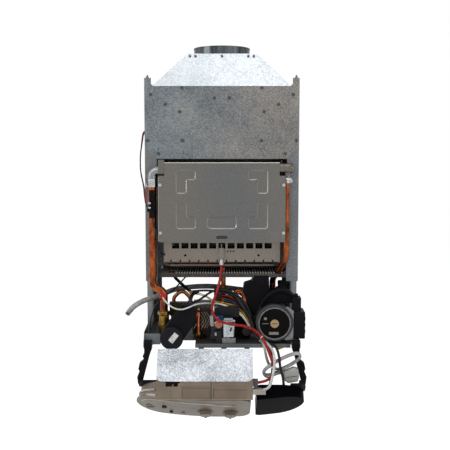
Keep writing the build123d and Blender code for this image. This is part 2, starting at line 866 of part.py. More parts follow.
# Plate heat exchanger for tap water: brazed stack of pressed plates
stack_x = (-76.0, -28.0)
stack_y = (-225.0, -95.0)
stack_drop = (587.0, 655.0)
plate_count = 14
with BuildPart() as plate_exchanger:
    pitch = (stack_x[1] - stack_x[0]) / plate_count
    block(
        stack_x[0],
        stack_x[1],
        stack_y[0] + 2,
        stack_y[1] - 2,
        down(stack_drop[1]) + 2,
        down(stack_drop[0]) - 2,
    )
    for i in range(plate_count):
        x = stack_x[0] + i * pitch
        block(x, x + pitch * 0.55, stack_y[0], stack_y[1], down(stack_drop[1]), down(stack_drop[0]))
    for y in (-200, -120):
        rod_z(-52, y, floor_z, down(stack_drop[1]) + 1, 9)
    # Cut back round the bypass pipe's branch
    rod_y(bypass_x, stack_y[0] - 1, -206.7, down(bypass_drop[0]), bypass_pipe_r + gap, Mode.SUBTRACT)
    block(
        bypass_x - bypass_pipe_r - gap,
        bypass_x + bypass_pipe_r + gap,
        stack_y[0] - 1,
        -206.7,
        down(bypass_drop[0]),
        down(580),
        Mode.SUBTRACT,
    )
save(plate_exchanger, "plate_exchanger")

# Pump: composite return group with volute, motor, rotor and terminal box
pump_x = 131.0
pump_z = down(609)
pump_r = 44.0
pump_joint_y = -214.0
pump_face = -300.0
vent_r = 8.0
volute_back = -172.0
rotor_shaft_r = 5.0
with BuildPart() as return_group:
    rod_y(pump_x, pump_joint_y, volute_back, pump_z, pump_r + 3)
    rod_y(pump_x, pump_joint_y, pump_joint_y + 14, pump_z, pump_r + 8)
    # Cut flat above the bottom plate
    block(60, 190, -260, -100, floor_z - 20, floor_z, Mode.SUBTRACT)
    # Riser boss, air separator and black rear block
    rod_z(riser_x, riser_y, pump_z, down(554), 13)
    block(84, 117, -205, -160, down(600), down(519))
    block(92, 112, -198, -165, down(519), down(513))
    rod_z(152, -200, pump_z + 30, down(534), 12)
    rod_z(152, -200, down(534), down(530), 7)
    rod_z(stub_x[4], stub_y[4], floor_z, floor_z + 34, 12)
    block(124, 148, volute_back - 2, -118, floor_z + 12, floor_z + 32)
    # Safety valve branch towards the front left
    rod_y(63, -215, -160, floor_z + 22, 9)
    block(54, 96, -196, -176, floor_z + 8, floor_z + 34)
    rod_z(63, -215, floor_z, floor_z + 33, 10)
    rod_x(76, 92, -112, down(558), 4.5)
    rod_y(92, -163, -106, down(558), 5)
    # Rotor chamber
    rod_y(pump_x, pump_joint_y - 1, pump_joint_y + 24, pump_z, 31, Mode.SUBTRACT)
    rod_y(pump_x, pump_joint_y + 23, pump_joint_y + 31, pump_z, rotor_shaft_r + running, Mode.SUBTRACT)
    # Room for the right tap water pipe
    rod_z(68, -186, floor_z - 1, down(590), water_pipe_r + 4, Mode.SUBTRACT)
save(return_group, "return_group")

with BuildPart() as pump_motor:
    rod_y(pump_x, pump_face + 12, pump_joint_y - gap, pump_z, pump_r)
    rod_y(pump_x, pump_joint_y - 8, pump_joint_y, pump_z, pump_r + 7)
    rod_y(pump_x, pump_face + 3, pump_face + 13, pump_z, pump_r - 3)
    rod_y(pump_x, pump_face, pump_face + 4, pump_z, pump_r - 6)
    nose_edges = pump_motor.edges().filter_by(GeomType.CIRCLE).group_by(Axis.Y)[0]
    fillet(nose_edges, 1.2)
    block(pump_x - 60, pump_x + 60, -240, -200, floor_z - 20, floor_z + 0.3, Mode.SUBTRACT)
    # Stator bore and the hole of the vent screw
    rod_y(pump_x, pump_face + 16, pump_joint_y + 1, pump_z, 30, Mode.SUBTRACT)
    rod_y(pump_x, pump_face - 1, pump_face + 17, pump_z, vent_r + running, Mode.SUBTRACT)
save(pump_motor, "pump_motor")

with BuildPart() as pump_vent_screw:
    rod_y(pump_x, pump_face - 2.5, pump_face, pump_z, 10.5)
    rod_y(pump_x, pump_face, pump_face + 15, pump_z, vent_r)
    block(pump_x - 7, pump_x + 7, pump_face - 3, pump_face - 1.2, pump_z - 0.8, pump_z + 0.8, Mode.SUBTRACT)
save(pump_vent_screw, "pump_vent_screw")

with BuildPart() as pump_rotor:
    rod_y(pump_x, pump_face + 22, pump_joint_y + 30, pump_z, rotor_shaft_r)
    rod_y(pump_x, pump_face + 26, pump_joint_y - 6, pump_z, 26)
    rod_y(pump_x, pump_joint_y + 8, pump_joint_y + 10, pump_z, 27)
    for i in range(6):
        with Locations(Location((pump_x, pump_joint_y + 13, pump_z), (0, i * 60.0, 0))):
            with Locations((14, 0, 0)):
                Box(20, 8, 2.5)
save(pump_rotor, "pump_rotor")

terminal_x = (178.5, 208.0)
terminal_drop = (582.0, 650.0)
terminal_y = (-292.0, -236.0)
with BuildPart() as pump_terminal_box:
    block(
        terminal_x[0],
        terminal_x[1],
        terminal_y[0],
        terminal_y[1],
        down(terminal_drop[1]),
        down(terminal_drop[0]),
    )
    corners = pump_terminal_box.edges()
    fillet(corners, 2.5)
    # Neck to the motor, shaped to its round casing
    block(166, terminal_x[0] + 1, -285, -245, down(638), down(590))
    rod_y(pump_x, -320, -200, pump_z, pump_r + 0.05, Mode.SUBTRACT)
    # Plug with its cable entry on top
    block(177, 198, -284, -248, down(terminal_drop[0]), down(548))
    rod_z(187, -266, down(548), down(540), 5)
    for z in (down(600), down(616), down(632)):
        block(terminal_x[1], terminal_x[1] + 1.2, terminal_y[0] + 6, terminal_y[1] - 6, z - 4, z + 4)
save(pump_terminal_box, "pump_terminal_box")

# Cap of the automatic air vent, screwed on to the separator
with BuildPart() as air_vent_cap:
    rod_z(152, -200, down(530) + gap, down(517), 6.5)
    for i in range(8):
        with Locations(Location((152, -200, down(523)), (0, 0, i * 45.0))):
            with Locations((6.5, 0, 0)):
                Box(1.4, 1.8, 9)
save(air_vent_cap, "air_vent_cap")

# Gas valve: die-cast body, twin coils, flange and the front regulator cover
with BuildPart() as gas_valve_body:
    block(valve_x[0], valve_x[1], valve_y[0], valve_y[1], floor_z + 8, down(valve_top + 22))
    block(-10, 18, -225, valve_y[1], down(valve_top + 22), down(valve_top))
    block(2, 30, valve_y[0] - 6, valve_y[0], down(650), down(612))
    block(0, 35, valve_y[0] - 9, valve_y[0], floor_z, down(650))
    rod_z(stub_x[2], stub_y[2], floor_z, floor_z + 9, 12)
    for x in (6, 26):
        rod_y(x, valve_y[0] - 8, valve_y[0] - 5, down(620), 2.2)
    rod_y(-13, valve_y[0] - 12, valve_y[0], down(634), 4)
save(gas_valve_body, "gas_valve_body")

with BuildPart() as gas_valve_coils:
    top = down(valve_top + 22)
    block(valve_x[0], -11, -268, -232, top, down(596))
    block(-9, 3, -268, -232, top, down(598))
    block(5, 27, -266, -232, top, down(603))
    rod_y(-9, -284, valve_y[0], down(617), 10)
    rod_y(-9, -286, -283, down(617), 4)
save(gas_valve_coils, "gas_valve_coils")

# Red cap of the safety valve, turned to drain the circuit
safety_y = -250.0
with BuildPart() as safety_valve_cap:
    rod_y(63, safety_y, -226, floor_z + 22, 11)
    for i in range(6):
        with Locations(Location((63, (safety_y - 226) / 2, floor_z + 22), (0, i * 60.0, 0))):
            with Locations((11, 0, 0)):
                Box(2, 18, 3)
    rod_y(63, -227, -225.3, floor_z + 22, 6)
save(safety_valve_cap, "safety_valve_cap")

# Connection stubs below the plate: flow, hot water, gas, cold water, return
stub_end_drop = 684.0
with BuildPart() as connection_stubs:
    for x, y, r in zip(stub_x, stub_y, stub_r):
        rod_z(x, y, down(stub_end_drop), floor_z - gap, r)
        rod_z(x, y, floor_z - sheet - 3, floor_z - sheet, r + 3)
        rod_z(x, y, down(stub_end_drop) - 1, floor_z, r - 2, Mode.SUBTRACT)
save(connection_stubs, "connection_stubs")

# Overheat thermostat clipped to the flow pipe
thermostat_y = elbow_y - pipe_r
with BuildPart() as overheat_thermostat:
    block(flow_x - 6, flow_x + 6, thermostat_y - 9, thermostat_y, down(350), down(280))
    rod_y(flow_x, thermostat_y - 14, thermostat_y - 9, down(318), 8)
    block(flow_x - 2.2, flow_x + 3, thermostat_y - 19, thermostat_y - 14, down(313), down(310))
    block(flow_x - 2.2, flow_x + 3, thermostat_y - 19, thermostat_y - 14, down(325), down(322))
    block(flow_x - 12, flow_x + 12, thermostat_y + 1, thermostat_y, down(335), down(325))
    rod_z(flow_x, elbow_y, down(360), down(270), pipe_r + 0.05, Mode.SUBTRACT)
save(overheat_thermostat, "overheat_thermostat")

# Control panel, modelled as if shut and turned down about its pivots.
# Inside it, -y is the way the face looks and z is up, both from the pivot line.
swing = 54.0
turn_cos = cos(radians(swing))
turn_sin = sin(radians(swing))
pivot = (0, pivot_y, pivot_z)
panel_top = Plane(origin=pivot, x_dir=(1, 0, 0), z_dir=(0, -turn_sin, turn_cos))
panel_front = Plane(origin=pivot, x_dir=(1, 0, 0), z_dir=(0, -turn_cos, -turn_sin))
panel_side = Plane(origin=pivot, x_dir=(0, turn_cos, turn_sin), z_dir=(1, 0, 0))

face_y = -141.5
face_bow_r = 1112.0
face_x = (-213.0, 205.0)
face_top = -16.0
face_h = 127.0
face_end_r = 63.4
face_wall = 2.5
rim_back = -100.0
grey_right = 71.0
wing_left = 85.0
face_mid_x = (face_x[0] + face_x[1]) / 2
face_mid_z = face_top - face_h / 2


def bow(x):
    """Depth of the bowed face surface at x."""
    return face_y + x * x / (2 * face_bow_r)


def face_slice(x0, x1, corner_r, inset, front, back, mode=Mode.ADD):
    """Part of the oval face outline between x0 and x1, extruded between two depths."""
    with BuildSketch(panel_front.offset(-front)) as outline:
        with Locations((face_mid_x, face_mid_z)):
            RectangleRounded(face_x[1] - face_x[0] - 2 * inset, face_h - 2 * inset, face_end_r - inset)
        with Locations(((x0 + x1) / 2, face_mid_z)):
            Rectangle(x1 - x0 - 2 * inset, face_h + 20, mode=Mode.INTERSECT)
        square = [v for v in outline.vertices() if min(abs(v.X - x0 - inset), abs(v.X - x1 + inset)) < 0.01]
        cut_side = [v for v in square if face_x[0] + face_end_r < v.X < face_x[1] - face_end_r]
        fillet(cut_side, corner_r - inset)
    extrude(outline.sketch, amount=front - back, mode=mode)


def bowed_form(x0, x1, corner_r, steps, bow_r):
    """Solid of stepped oval slices, its front cut to the bow; steps are (inset, front, back)."""
    with BuildPart(panel_top, mode=Mode.PRIVATE) as form:
        for inset, front, back in steps:
            face_slice(x0, x1, corner_r, inset, front, back)
        rod_z(0, face_y + face_bow_r, -200, 40, bow_r, Mode.INTERSECT)
    return form.part


def bowed_shell(x0, x1, corner_r, steps):
    """Open-backed shell of even wall with a bowed face."""
    inner = [(inset + face_wall, front, back - face_wall) for inset, front, back in steps[:-1]]
    inset, front, back = steps[-1]
    inner.append((inset + face_wall, front, back + 3))
    add(bowed_form(x0, x1, corner_r, steps, face_bow_r))
    add(bowed_form(x0, x1, corner_r, inner, face_bow_r - face_wall), mode=Mode.SUBTRACT)


# Grey front housing with the oval face and its stepped rims
heating_at = (-41.0, -104.0)
water_at = (21.0, -109.0)
reset_at = (-144.0, -87.0)
mode_at = (-128.0, -119.0)
lamp_at = (-97.0, -121.0)
gauge_at = (-179.0, -98.0)
knob_shaft_r = 3.0
reset_r = 6.0
mode_r = 4.5
gauge_r = 11.0
rim_steps = ((0.0, -165.0, -118.0), (5.0, -130.0, -103.0), (10.0, -115.0, -88.0))
with BuildPart() as panel_face:
    bowed_shell(face_x[0], grey_right, 28.0, rim_steps)
    with Locations(panel_top.location):
        rod_y(reset_at[0], -150, -110, reset_at[1], reset_r + running, Mode.SUBTRACT)
        rod_y(mode_at[0], -150, -110, mode_at[1], mode_r + running, Mode.SUBTRACT)
        rod_y(gauge_at[0], -150, -110, gauge_at[1], gauge_r + gap, Mode.SUBTRACT)
        # Lamp lens ring and the row of scale marks between the controls
        rod_y(lamp_at[0], bow(lamp_at[0]) - 0.8, bow(lamp_at[0]) + 2, lamp_at[1], 6)
        rod_y(lamp_at[0], bow(lamp_at[0]) - 2, bow(lamp_at[0]) + 0.6, lamp_at[1], 4.4, Mode.SUBTRACT)
        for i in range(9):
            x = -133 + i * 9
            rod_y(x, bow(x) - 0.6, bow(x) + 1, -76 - i * 0.8, 1.3)
        # Raised rings round both knobs
        for x, z in (heating_at, water_at):
            rod_y(x, bow(x) - 0.7, bow(x) + 1, z, 21)
            rod_y(x, bow(x) - 3, bow(x) - 0.2, z, 19.5, Mode.SUBTRACT)
            rod_y(x, -150, -120, z, knob_shaft_r + running, Mode.SUBTRACT)
save(panel_face, "panel_face")

# Black end wing of the panel
wing_steps = ((0.0, -165.0, rim_back),)
with BuildPart() as panel_wing:
    bowed_shell(wing_left, face_x[1], 12.0, wing_steps)
save(panel_wing, "panel_wing")

# Control box: moulded housing behind the face, open under its metal lid
box_x = (-158.0, 75.0)
box_wall = 2.5
lid_back = (-17.0, 4.0)
lid_front = (-101.0, 12.0)
shoulder_end = (-139.0, face_top + gap)
box_inner_y = rim_steps[-1][2]
box_floor = -75.0
relief_r = 5.5
relief_at = (-117.0, -7.5)
relief_end = 97.0
shoulder_angle = degrees(atan2(lid_front[1] - shoulder_end[1], lid_front[0] - shoulder_end[0]))
with BuildPart(panel_top) as control_box:
    with BuildSketch(panel_side.offset(box_x[0])):
        with BuildLine():
            Polyline(
                lid_back,
                lid_front,
                shoulder_end,
                (box_inner_y, shoulder_end[1]),
                (box_inner_y, box_floor),
                (lid_back[0], box_floor),
                close=True,
            )
        make_face()
    extrude(amount=box_x[1] - box_x[0])
    with BuildSketch(panel_side.offset(box_x[0] + box_wall)):
        with BuildLine():
            Polyline(
                (lid_back[0] - box_wall, lid_back[1] + 3),
                (lid_front[0] + 2, lid_front[1] + 3),
                (lid_front[0] + 2, lid_front[1] - 3),
                (shoulder_end[0] + 8, shoulder_end[1] + box_wall),
                (box_inner_y + box_wall, shoulder_end[1] + box_wall),
                (box_inner_y + box_wall, box_floor + box_wall),
                (lid_back[0] - box_wall, box_floor + box_wall),
                close=True,
            )
        make_face()
    extrude(amount=box_x[1] - box_x[0] - 2 * box_wall, mode=Mode.SUBTRACT)
    # Posts that carry the circuit board
    for x in (-138.0, 54.0):
        for y in (-76.0, -30.0):
            rod_z(x, y, box_floor + box_wall, -42, 3.5)
    # Shallow panels and a rib on the shoulder wall
    mid_y = (lid_front[0] + shoulder_end[0]) / 2
    mid_z = (lid_front[1] + shoulder_end[1]) / 2
    for x0, x1 in ((-97.0, -31.0), (-21.0, 60.0)):
        with Locations(Location(((x0 + x1) / 2, mid_y - 3, mid_z - 2.2), (shoulder_angle, 0, 0))):
            Box(x1 - x0, 30, 3.4, mode=Mode.SUBTRACT)
    with Locations(Location((-122.0, mid_y, mid_z), (shoulder_angle, 0, 0))):
        Box(2, 40, 2)
    # Opening for the gauge line below the lid edge
    rod_y(-121, -112, -94, 4, 15, Mode.SUBTRACT)
    # Strain relief and lead connector at the right end
    rod_x(box_x[1] - 1, relief_end, relief_at[0], relief_at[1], relief_r)
    for x in (82.0, 87.0, 92.0):
        rod_x(x, x + 2.4, relief_at[0], relief_at[1], relief_r + 1.2)
    block(box_x[1] - 1, box_x[1] + 8, -107, -92, -10, 5)
save(control_box, "control_box")

# Galvanised lid of the control box
lid_t = 1.2
lid_len = ((lid_back[0] - lid_front[0]) ** 2 + (lid_back[1] - lid_front[1]) ** 2) ** 0.5
lid_mid_y = (lid_back[0] + lid_front[0]) / 2
lid_mid_z = (lid_back[1] + lid_front[1]) / 2
lid_mid = panel_top.from_local_coords(Vector(0, lid_mid_y, lid_mid_z))
lid_rise = (lid_front[1] - lid_back[1]) / lid_len
lid_run = (lid_back[0] - lid_front[0]) / lid_len
lid_normal = panel_top.from_local_coords(Vector(0, lid_rise, lid_run)) - panel_top.origin
lid_plane = Plane(origin=lid_mid, x_dir=(1, 0, 0), z_dir=lid_normal)
with BuildPart() as box_lid:
    with BuildSketch(lid_plane) as lid_outline:
        with Locations(((box_x[0] + box_x[1]) / 2, 0)):
            Rectangle(box_x[1] - box_x[0] + 2, lid_len + 3)
        corners = lid_outline.vertices().group_by(Axis.Y)
        fillet(corners[0], 15)
        fillet(corners[-1], 5)
    extrude(amount=lid_t)
save(box_lid, "box_lid")

# Circuit board with its relays, transformer and connectors
with BuildPart(panel_top) as circuit_board:
    block(-146, 62, -84, -24, -42, -40.4)
    block(-136, -96, -78, -42, -40.4, -14)
    for i in range(4):
        block(-84 + i * 20, -68 + i * 20, -76, -60, -40.4, -26)
    for i in range(6):
        block(-80 + i * 22, -64 + i * 22, -40, -30, -40.4, -30)
    rod_z(30, -66, -40.4, -20, 8)
save(circuit_board, "circuit_board")

# Pressure gauge in the left end of the face, with its pointer
gauge_face = bow(gauge_at[0]) - 1.5
with BuildPart(panel_top) as pressure_gauge:
    rod_y(gauge_at[0], gauge_face, gauge_face + 22, gauge_at[1], gauge_r)
    rod_y(gauge_at[0], gauge_face + 8, gauge_face + 10, gauge_at[1], gauge_r + 2.5)
    rod_y(gauge_at[0], gauge_face - 1, gauge_face + 1.8, gauge_at[1], gauge_r - 1.5, Mode.SUBTRACT)
    rod_y(gauge_at[0], gauge_face + 1, gauge_face + 4, gauge_at[1], 0.65, Mode.SUBTRACT)
save(pressure_gauge, "pressure_gauge")

with BuildPart(panel_top) as gauge_pointer:
    rod_y(gauge_at[0], gauge_face + 1.1, gauge_face + 3, gauge_at[1], 0.6)
    rod_y(gauge_at[0], gauge_face + 0.7, gauge_face + 1.3, gauge_at[1], 1.4)
    block(
        gauge_at[0] - 0.4,
        gauge_at[0] + 0.4,
        gauge_face + 0.7,
        gauge_face + 1.3,
        gauge_at[1] - 2,
        gauge_at[1] + 8,
    )
save(gauge_pointer, "gauge_pointer")

# Rotary knobs on their shafts
knob_r = 17.0
knob_h = 11.0


def knob(spot):
    """Knob with a grip bar, its shaft through the face and a retaining collar."""
    x, z = spot
    seat = bow(x) - 0.8
    with BuildPart(panel_top) as turned:
        rod_y(x, seat - 3, seat, z, knob_r)
        rod_y(x, seat - knob_h + 2, seat - 2.5, z, knob_r - 3)
        block(x - 3, x + 3, seat - knob_h, seat - 2.5, z - knob_r + 2, z + knob_r - 2)
        rod_y(x, seat - 0.5, bow(x) + 9, z, knob_shaft_r)
        rod_y(x, bow(x) + face_wall + gap + 0.4, bow(x) + 6, z, 6)
    return turned


heating_knob = knob(heating_at)
water_knob = knob(water_at)
save(heating_knob, "heating_knob")
save(water_knob, "water_knob")


def push_button(spot, r):
    """Push button with a stop flange behind the face."""
    x, z = spot
    with BuildPart(panel_top) as pressed:
        rod_y(x, bow(x) - 3.2, bow(x) + 8, z, r)
        rod_y(x, bow(x) + face_wall + 1.4, bow(x) + 6, z, r + 1.6)
    return pressed


reset_button = push_button(reset_at, reset_r)
mode_button = push_button(mode_at, mode_r)
save(reset_button, "reset_button")
save(mode_button, "mode_button")

# Swing arms: bushes on the chassis pins, straps and the feet behind the shells
arm_len = 100.0
arm_depth = 18.0
arm_bush = (174.0, 193.2)
with BuildPart() as panel_arms:
    for side in (-1, 1):
        with BuildSketch(Plane.XZ.offset(-pivot_y - arm_depth / 2)):
            with BuildLine():
                Polyline(
                    (side * 174, pivot_z + 3),
                    (side * 193, pivot_z + 3),
                    (side * 193, pivot_z - 20),
                    (side * 197, pivot_z - 30),
                    (side * 193, pivot_z - 38),
                    (side * 205, pivot_z - 48),
                    (side * 208, pivot_z - 62),
                    (side * 205, pivot_z - 68),
                    (side * 211, pivot_z - 82),
                    (side * 209, pivot_z - arm_len),
                    (side * 199, pivot_z - arm_len),
                    (side * 180, pivot_z - 28),
                    (side * 174, pivot_z - 12),
                    close=True,
                )
            make_face()
        extrude(amount=arm_depth)
        rod_x(side * arm_bush[0], side * arm_bush[1], pivot_y, pivot_z, 9.5)
    # Hollow the straps from behind, as a folded channel
    for side in (-1, 1):
        with BuildSketch(Plane.XZ.offset(-pivot_y - arm_depth / 2 - 1)):
            with BuildLine():
                Polyline(
                    (side * 182, pivot_z - 30),
                    (side * 192, pivot_z - 36),
                    (side * 206, pivot_z - 90),
                    (side * 200, pivot_z - 90),
                    close=True,
                )
            make_face()
        extrude(amount=arm_depth - 3, mode=Mode.SUBTRACT)
        rod_x(
            side * (arm_bush[0] - 2),
            side * (arm_bush[1] + 2),
            pivot_y,
            pivot_z,
            pivot_pin_r + running,
            Mode.SUBTRACT,
        )
with BuildPart(panel_top) as arm_feet:
    block(-207, -185, box_inner_y, -80, -66, -40)
    block(-203, box_x[0], box_inner_y, -84, -66, -27)
    block(192, 207, rim_back, -80, -66, -40)
    block(168, 203, rim_back, -96, -66, -17)
with BuildPart() as panel_arms_whole:
    add(panel_arms.part)
    add(arm_feet.part)
save(panel_arms_whole, "panel_arms")

# Drain hose: clear tube from the return group, out past the left upright
hose_r = 7.0
hose_bore = 4.6
hose_route = [
    (80.0, -112.0, down(558)),
    (58.0, -112.0, down(558)),
    (30.0, -107.0, down(555)),
    (-4.0, -104.0, down(551)),
    (-42.0, -104.0, down(549)),
    (-84.0, -112.0, down(549.5)),
    (-124.0, -136.0, down(551)),
    (-152.0, -172.0, down(556)),
    (-174.0, -201.0, down(561)),
    (-204.0, -213.0, down(568)),
    (-226.0, -214.5, down(581)),
    (-241.0, -215.0, down(597)),
]
with BuildPart() as drain_hose:
    hose_radii = bend_radii(hose_route, 0)
    hose_length = sweep_route(hose_route, hose_radii, hose_r, hose_bore)
print("drain hose", round(hose_length), [round(r) for r in hose_radii])
save(drain_hose, "drain_hose")

# Wiring fixed inside the chassis: the loom, a white wire, the thermostat pair and a lead
loom_r = 6.0
loom_end = (98.0, -280.0, down(654.5))
loom_route = [
    (-79.0, -283.0, down(564.1)),
    (-79.0, -281.5, down(553)),
    (-74.0, -268.0, down(542)),
    (-55.0, -245.0, down(536)),
    (-30.0, -229.0, down(534)),
    (8.0, -222.0, down(535)),
    (44.0, -222.0, down(544)),
    (68.0, -230.0, down(566)),
    (78.0, -245.0, down(595)),
    (79.0, -259.0, down(628)),
    (85.0, -269.0, down(648)),
    loom_end,
]
white_wire_route = [
    (-148.0, elbow_y - pipe_r - 0.75, down(564)),
    (-146.0, -258.0, down(568)),
    (-130.0, -267.0, down(576)),
    (-113.0, -274.0, down(577)),
]
pair_routes = (
    [
        (-188.0, wire_hole[0], down(wire_hole[1] - 1.6)),
        (-200.0, -207.0, down(wire_hole[1])),
        (-203.0, -212.0, down(150)),
        (-206.0, -217.0, down(186)),
        (-208.0, -222.0, down(222)),
        (-202.0, -231.0, down(250)),
        (-194.0, -246.0, down(278)),
        (-190.0, -257.0, down(298)),
        (-185.5, -264.0, down(310)),
        (-178.7, -265.0, down(311.5)),
    ],
    [
        (-188.0, wire_hole[0], down(wire_hole[1] + 1.6)),
        (-199.0, -208.0, down(wire_hole[1] + 3)),
        (-202.0, -216.0, down(158)),
        (-207.0, -223.0, down(194)),
        (-206.0, -229.0, down(236)),
        (-197.0, -243.0, down(268)),
        (-194.0, -252.0, down(296)),
        (-190.0, -260.0, down(316)),
        (-185.5, -264.5, down(322.5)),
        (-178.7, -265.0, down(323.5)),
    ],
)
burner_lead_route = [
    (-174.0, -253.5, down(350.6)),
    (-172.0, -256.0, down(365)),
    (-165.0, -259.0, down(386)),
    (-164.0, -255.0, down(403)),
    (-163.0, -248.0, down(420)),
    (-154.0, -240.0, down(440)),
    (-146.5, -223.3, down(447)),
]
with BuildPart() as wiring_loom:
    sweep_route(loom_route, bend_radii(loom_route, 0), loom_r)
    sweep_route(white_wire_route, bend_radii(white_wire_route, 0), 1.6)
    for route in pair_routes:
        sweep_route(route, bend_radii(route, 0), 1.1)
    sweep_route(burner_lead_route, bend_radii(burner_lead_route, 0), 2.0)
save(wiring_loom, "wiring_loom")

# Ignition lead: red silicone lead from the electrode to the control box
lead_r = 3.4
lead_route = [
    (-1.0, electrode_y, down(electrode_drop[1] + 2)),
    (-1.0, electrode_y, down(484)),
    (-5.0, -238.0, down(510)),
    (-13.0, -252.0, down(540)),
    (-25.0, -270.0, down(566)),
    (-24.0, -287.0, down(588)),
    (-4.0, -299.0, down(605)),
    (26.0, -303.0, down(611)),
    (60.0, -306.0, down(614)),
    (87.0, -311.0, down(626)),
    (104.0, -317.0, down(647)),
    (113.0, -326.0, down(668)),
    (121.0, -337.0, down(688)),
    (129.0, -340.0, down(711)),
    (123.0, -345.0, down(730)),
    (107.0, -351.5, down(741)),
    (83.6, -355.5, down(742.8)),
]
with BuildPart() as ignition_lead:
    lead_radii = bend_radii(lead_route, 0)
    lead_length = sweep_route(lead_route, lead_radii, lead_r)
print("ignition lead", round(lead_length), [round(r) for r in lead_radii])
save(ignition_lead, "ignition_lead")

# Leads from the loom to the panel: white to the strain relief, black into the wing,
# grey to the start of the mains hank
panel_lead_r = 3.2
hank_start = (110.0, -310.5, down(690))
white_lead_route = [
    (99.2, -280.9, down(651)),
    (103.4, -284.5, down(653.1)),
    (110.0, -296.0, down(656.5)),
    (121.0, -311.0, down(666)),
    (127.5, -329.0, down(677)),
    (129.0, -344.0, down(694)),
    (125.5, -352.0, down(716)),
    (120.0, -358.0, down(740)),
    (113.0, -362.0, down(756.5)),
    (97.7, -362.7, down(759.1)),
]
black_lead_route = [
    (101.0, -276.5, down(656.3)),
    (106.0, -279.5, down(658.4)),
    (118.0, -292.0, down(659)),
    (131.0, -304.0, down(663)),
    (138.0, -319.0, down(673)),
    (141.0, -334.0, down(688)),
    (142.0, -340.0, down(706)),
    (147.0, -340.0, down(724)),
    (151.0, -337.5, down(743)),
    (152.0, -338.8, down(765)),
    (152.4, -340.8, down(786.3)),
]
grey_lead_route = [
    (95.4, -282.3, down(656.3)),
    (99.6, -285.8, down(658.4)),
    (104.0, -299.0, down(660.5)),
    (106.0, -311.0, down(672)),
    (hank_start[0] - 0.2, hank_start[1], hank_start[2] + 0.6),
]
with BuildPart() as panel_leads:
    for route in (white_lead_route, black_lead_route, grey_lead_route):
        radii = bend_radii(route, 0)
        sweep_route(route, radii, panel_lead_r)
        print("panel lead", [round(r) for r in radii])
save(panel_leads, "panel_leads")

# Mains hank: two long loops of grey cable tied up beside the panel
cable_r = 3.5
hank_mid = (148.0, down(705.8))
hank_y = -313.7
hank_half = (50.0, 12.5)
hank_rise = radians(28.0)
hank_turns = 2
hank_pitch = 7.8
hank_bend = 12.2


def hank_point(along, across, turns):
    """Point of the hank from its own long and short directions and the turns wound."""
    x = hank_mid[0] + along * cos(hank_rise) - across * sin(hank_rise)
    z = hank_mid[1] + along * sin(hank_rise) + across * cos(hank_rise)
    return (x, hank_y - hank_pitch * turns, z)


half_long, half_wide = hank_half
hank_route = [hank_start, hank_point(-half_long + 11.5, -half_wide, -0.2)]
for corner in range(1, 4 * hank_turns + 1):
    along = half_long if corner % 4 in (1, 2) else -half_long
    across = half_wide if corner % 4 in (2, 3) else -half_wide
    hank_route.append(hank_point(along, across, corner / 4))
hank_route.append(hank_point(-13, -half_wide, hank_turns + 0.15))
connector_x = (158.0, 187.0)
connector_y = (-334.0, -315.0)
connector_drop = (720.0, 752.0)
hank_route.append((connector_x[0] - 1.8, -328.0, down(727.5)))


def least_self_gap(path, r):
    """Smallest gap between stretches of a tube that aren't neighbours along it."""
    count = 360
    spots = [path.position_at(i / count) for i in range(count + 1)]
    skip = int(count * 5 * r / path.length) + 1
    pairs = ((a, b) for a in range(count + 1) for b in range(a + skip, count + 1))
    return min((spots[a] - spots[b]).length for a, b in pairs) - 2 * r


with BuildPart() as mains_hank:
    with BuildLine() as hank_line:
        FilletPolyline(*hank_route, radius=[hank_bend] * (len(hank_route) - 2))
    with BuildSketch(Plane(origin=hank_line.line @ 0, z_dir=hank_line.line % 0)) as hank_section:
        Circle(cable_r)
    sweep(hank_section.sketch, path=hank_line.line)
hank_wire = hank_line.wires()[0]
print("hank least self gap", round(least_self_gap(hank_wire, cable_r), 2))
save(mains_hank, "mains_hank")

# Connector on the end of the mains cable
with BuildPart() as mains_connector:
    block(*connector_x, *connector_y, down(connector_drop[1]), down(connector_drop[0]))
    corners = mains_connector.edges()
    fillet(corners, 2.0)
    for x in (165.0, 172.5, 180.0):
        connector_mid = (connector_y[0] + connector_y[1]) / 2
        rod_z(x, connector_mid, down(connector_drop[1]) - 1, down(740), 1.6, Mode.SUBTRACT)
save(mains_connector, "mains_connector")
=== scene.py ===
from math import cos, pi, radians, sin

import bpy
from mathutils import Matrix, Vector


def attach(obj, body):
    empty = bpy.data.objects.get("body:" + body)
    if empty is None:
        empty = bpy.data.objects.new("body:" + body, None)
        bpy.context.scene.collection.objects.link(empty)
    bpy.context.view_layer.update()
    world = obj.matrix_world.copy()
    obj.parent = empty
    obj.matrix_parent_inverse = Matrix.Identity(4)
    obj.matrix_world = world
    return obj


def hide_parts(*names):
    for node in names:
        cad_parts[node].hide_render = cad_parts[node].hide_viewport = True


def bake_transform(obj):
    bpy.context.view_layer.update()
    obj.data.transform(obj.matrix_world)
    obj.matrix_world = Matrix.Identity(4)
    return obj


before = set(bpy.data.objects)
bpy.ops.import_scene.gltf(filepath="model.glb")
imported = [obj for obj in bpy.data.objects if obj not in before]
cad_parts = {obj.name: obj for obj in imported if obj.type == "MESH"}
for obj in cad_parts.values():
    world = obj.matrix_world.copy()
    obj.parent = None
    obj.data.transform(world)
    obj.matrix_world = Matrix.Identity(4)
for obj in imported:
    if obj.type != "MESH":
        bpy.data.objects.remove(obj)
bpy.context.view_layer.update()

# Studio: a plain pale floor well under the boiler, soft lamps and a white surround.
# The camera stands square in front of the wall, a little above the middle, and looks down five degrees.
scene = bpy.context.scene
scene.view_settings.view_transform = "Standard"


def rgb(code):
    """Linear colour of an sRGB hex code."""
    channels = [int(code[i : i + 2], 16) / 255 for i in (1, 3, 5)]
    return [c / 12.92 if c <= 0.04045 else ((c + 0.055) / 1.055) ** 2.4 for c in channels] + [1.0]


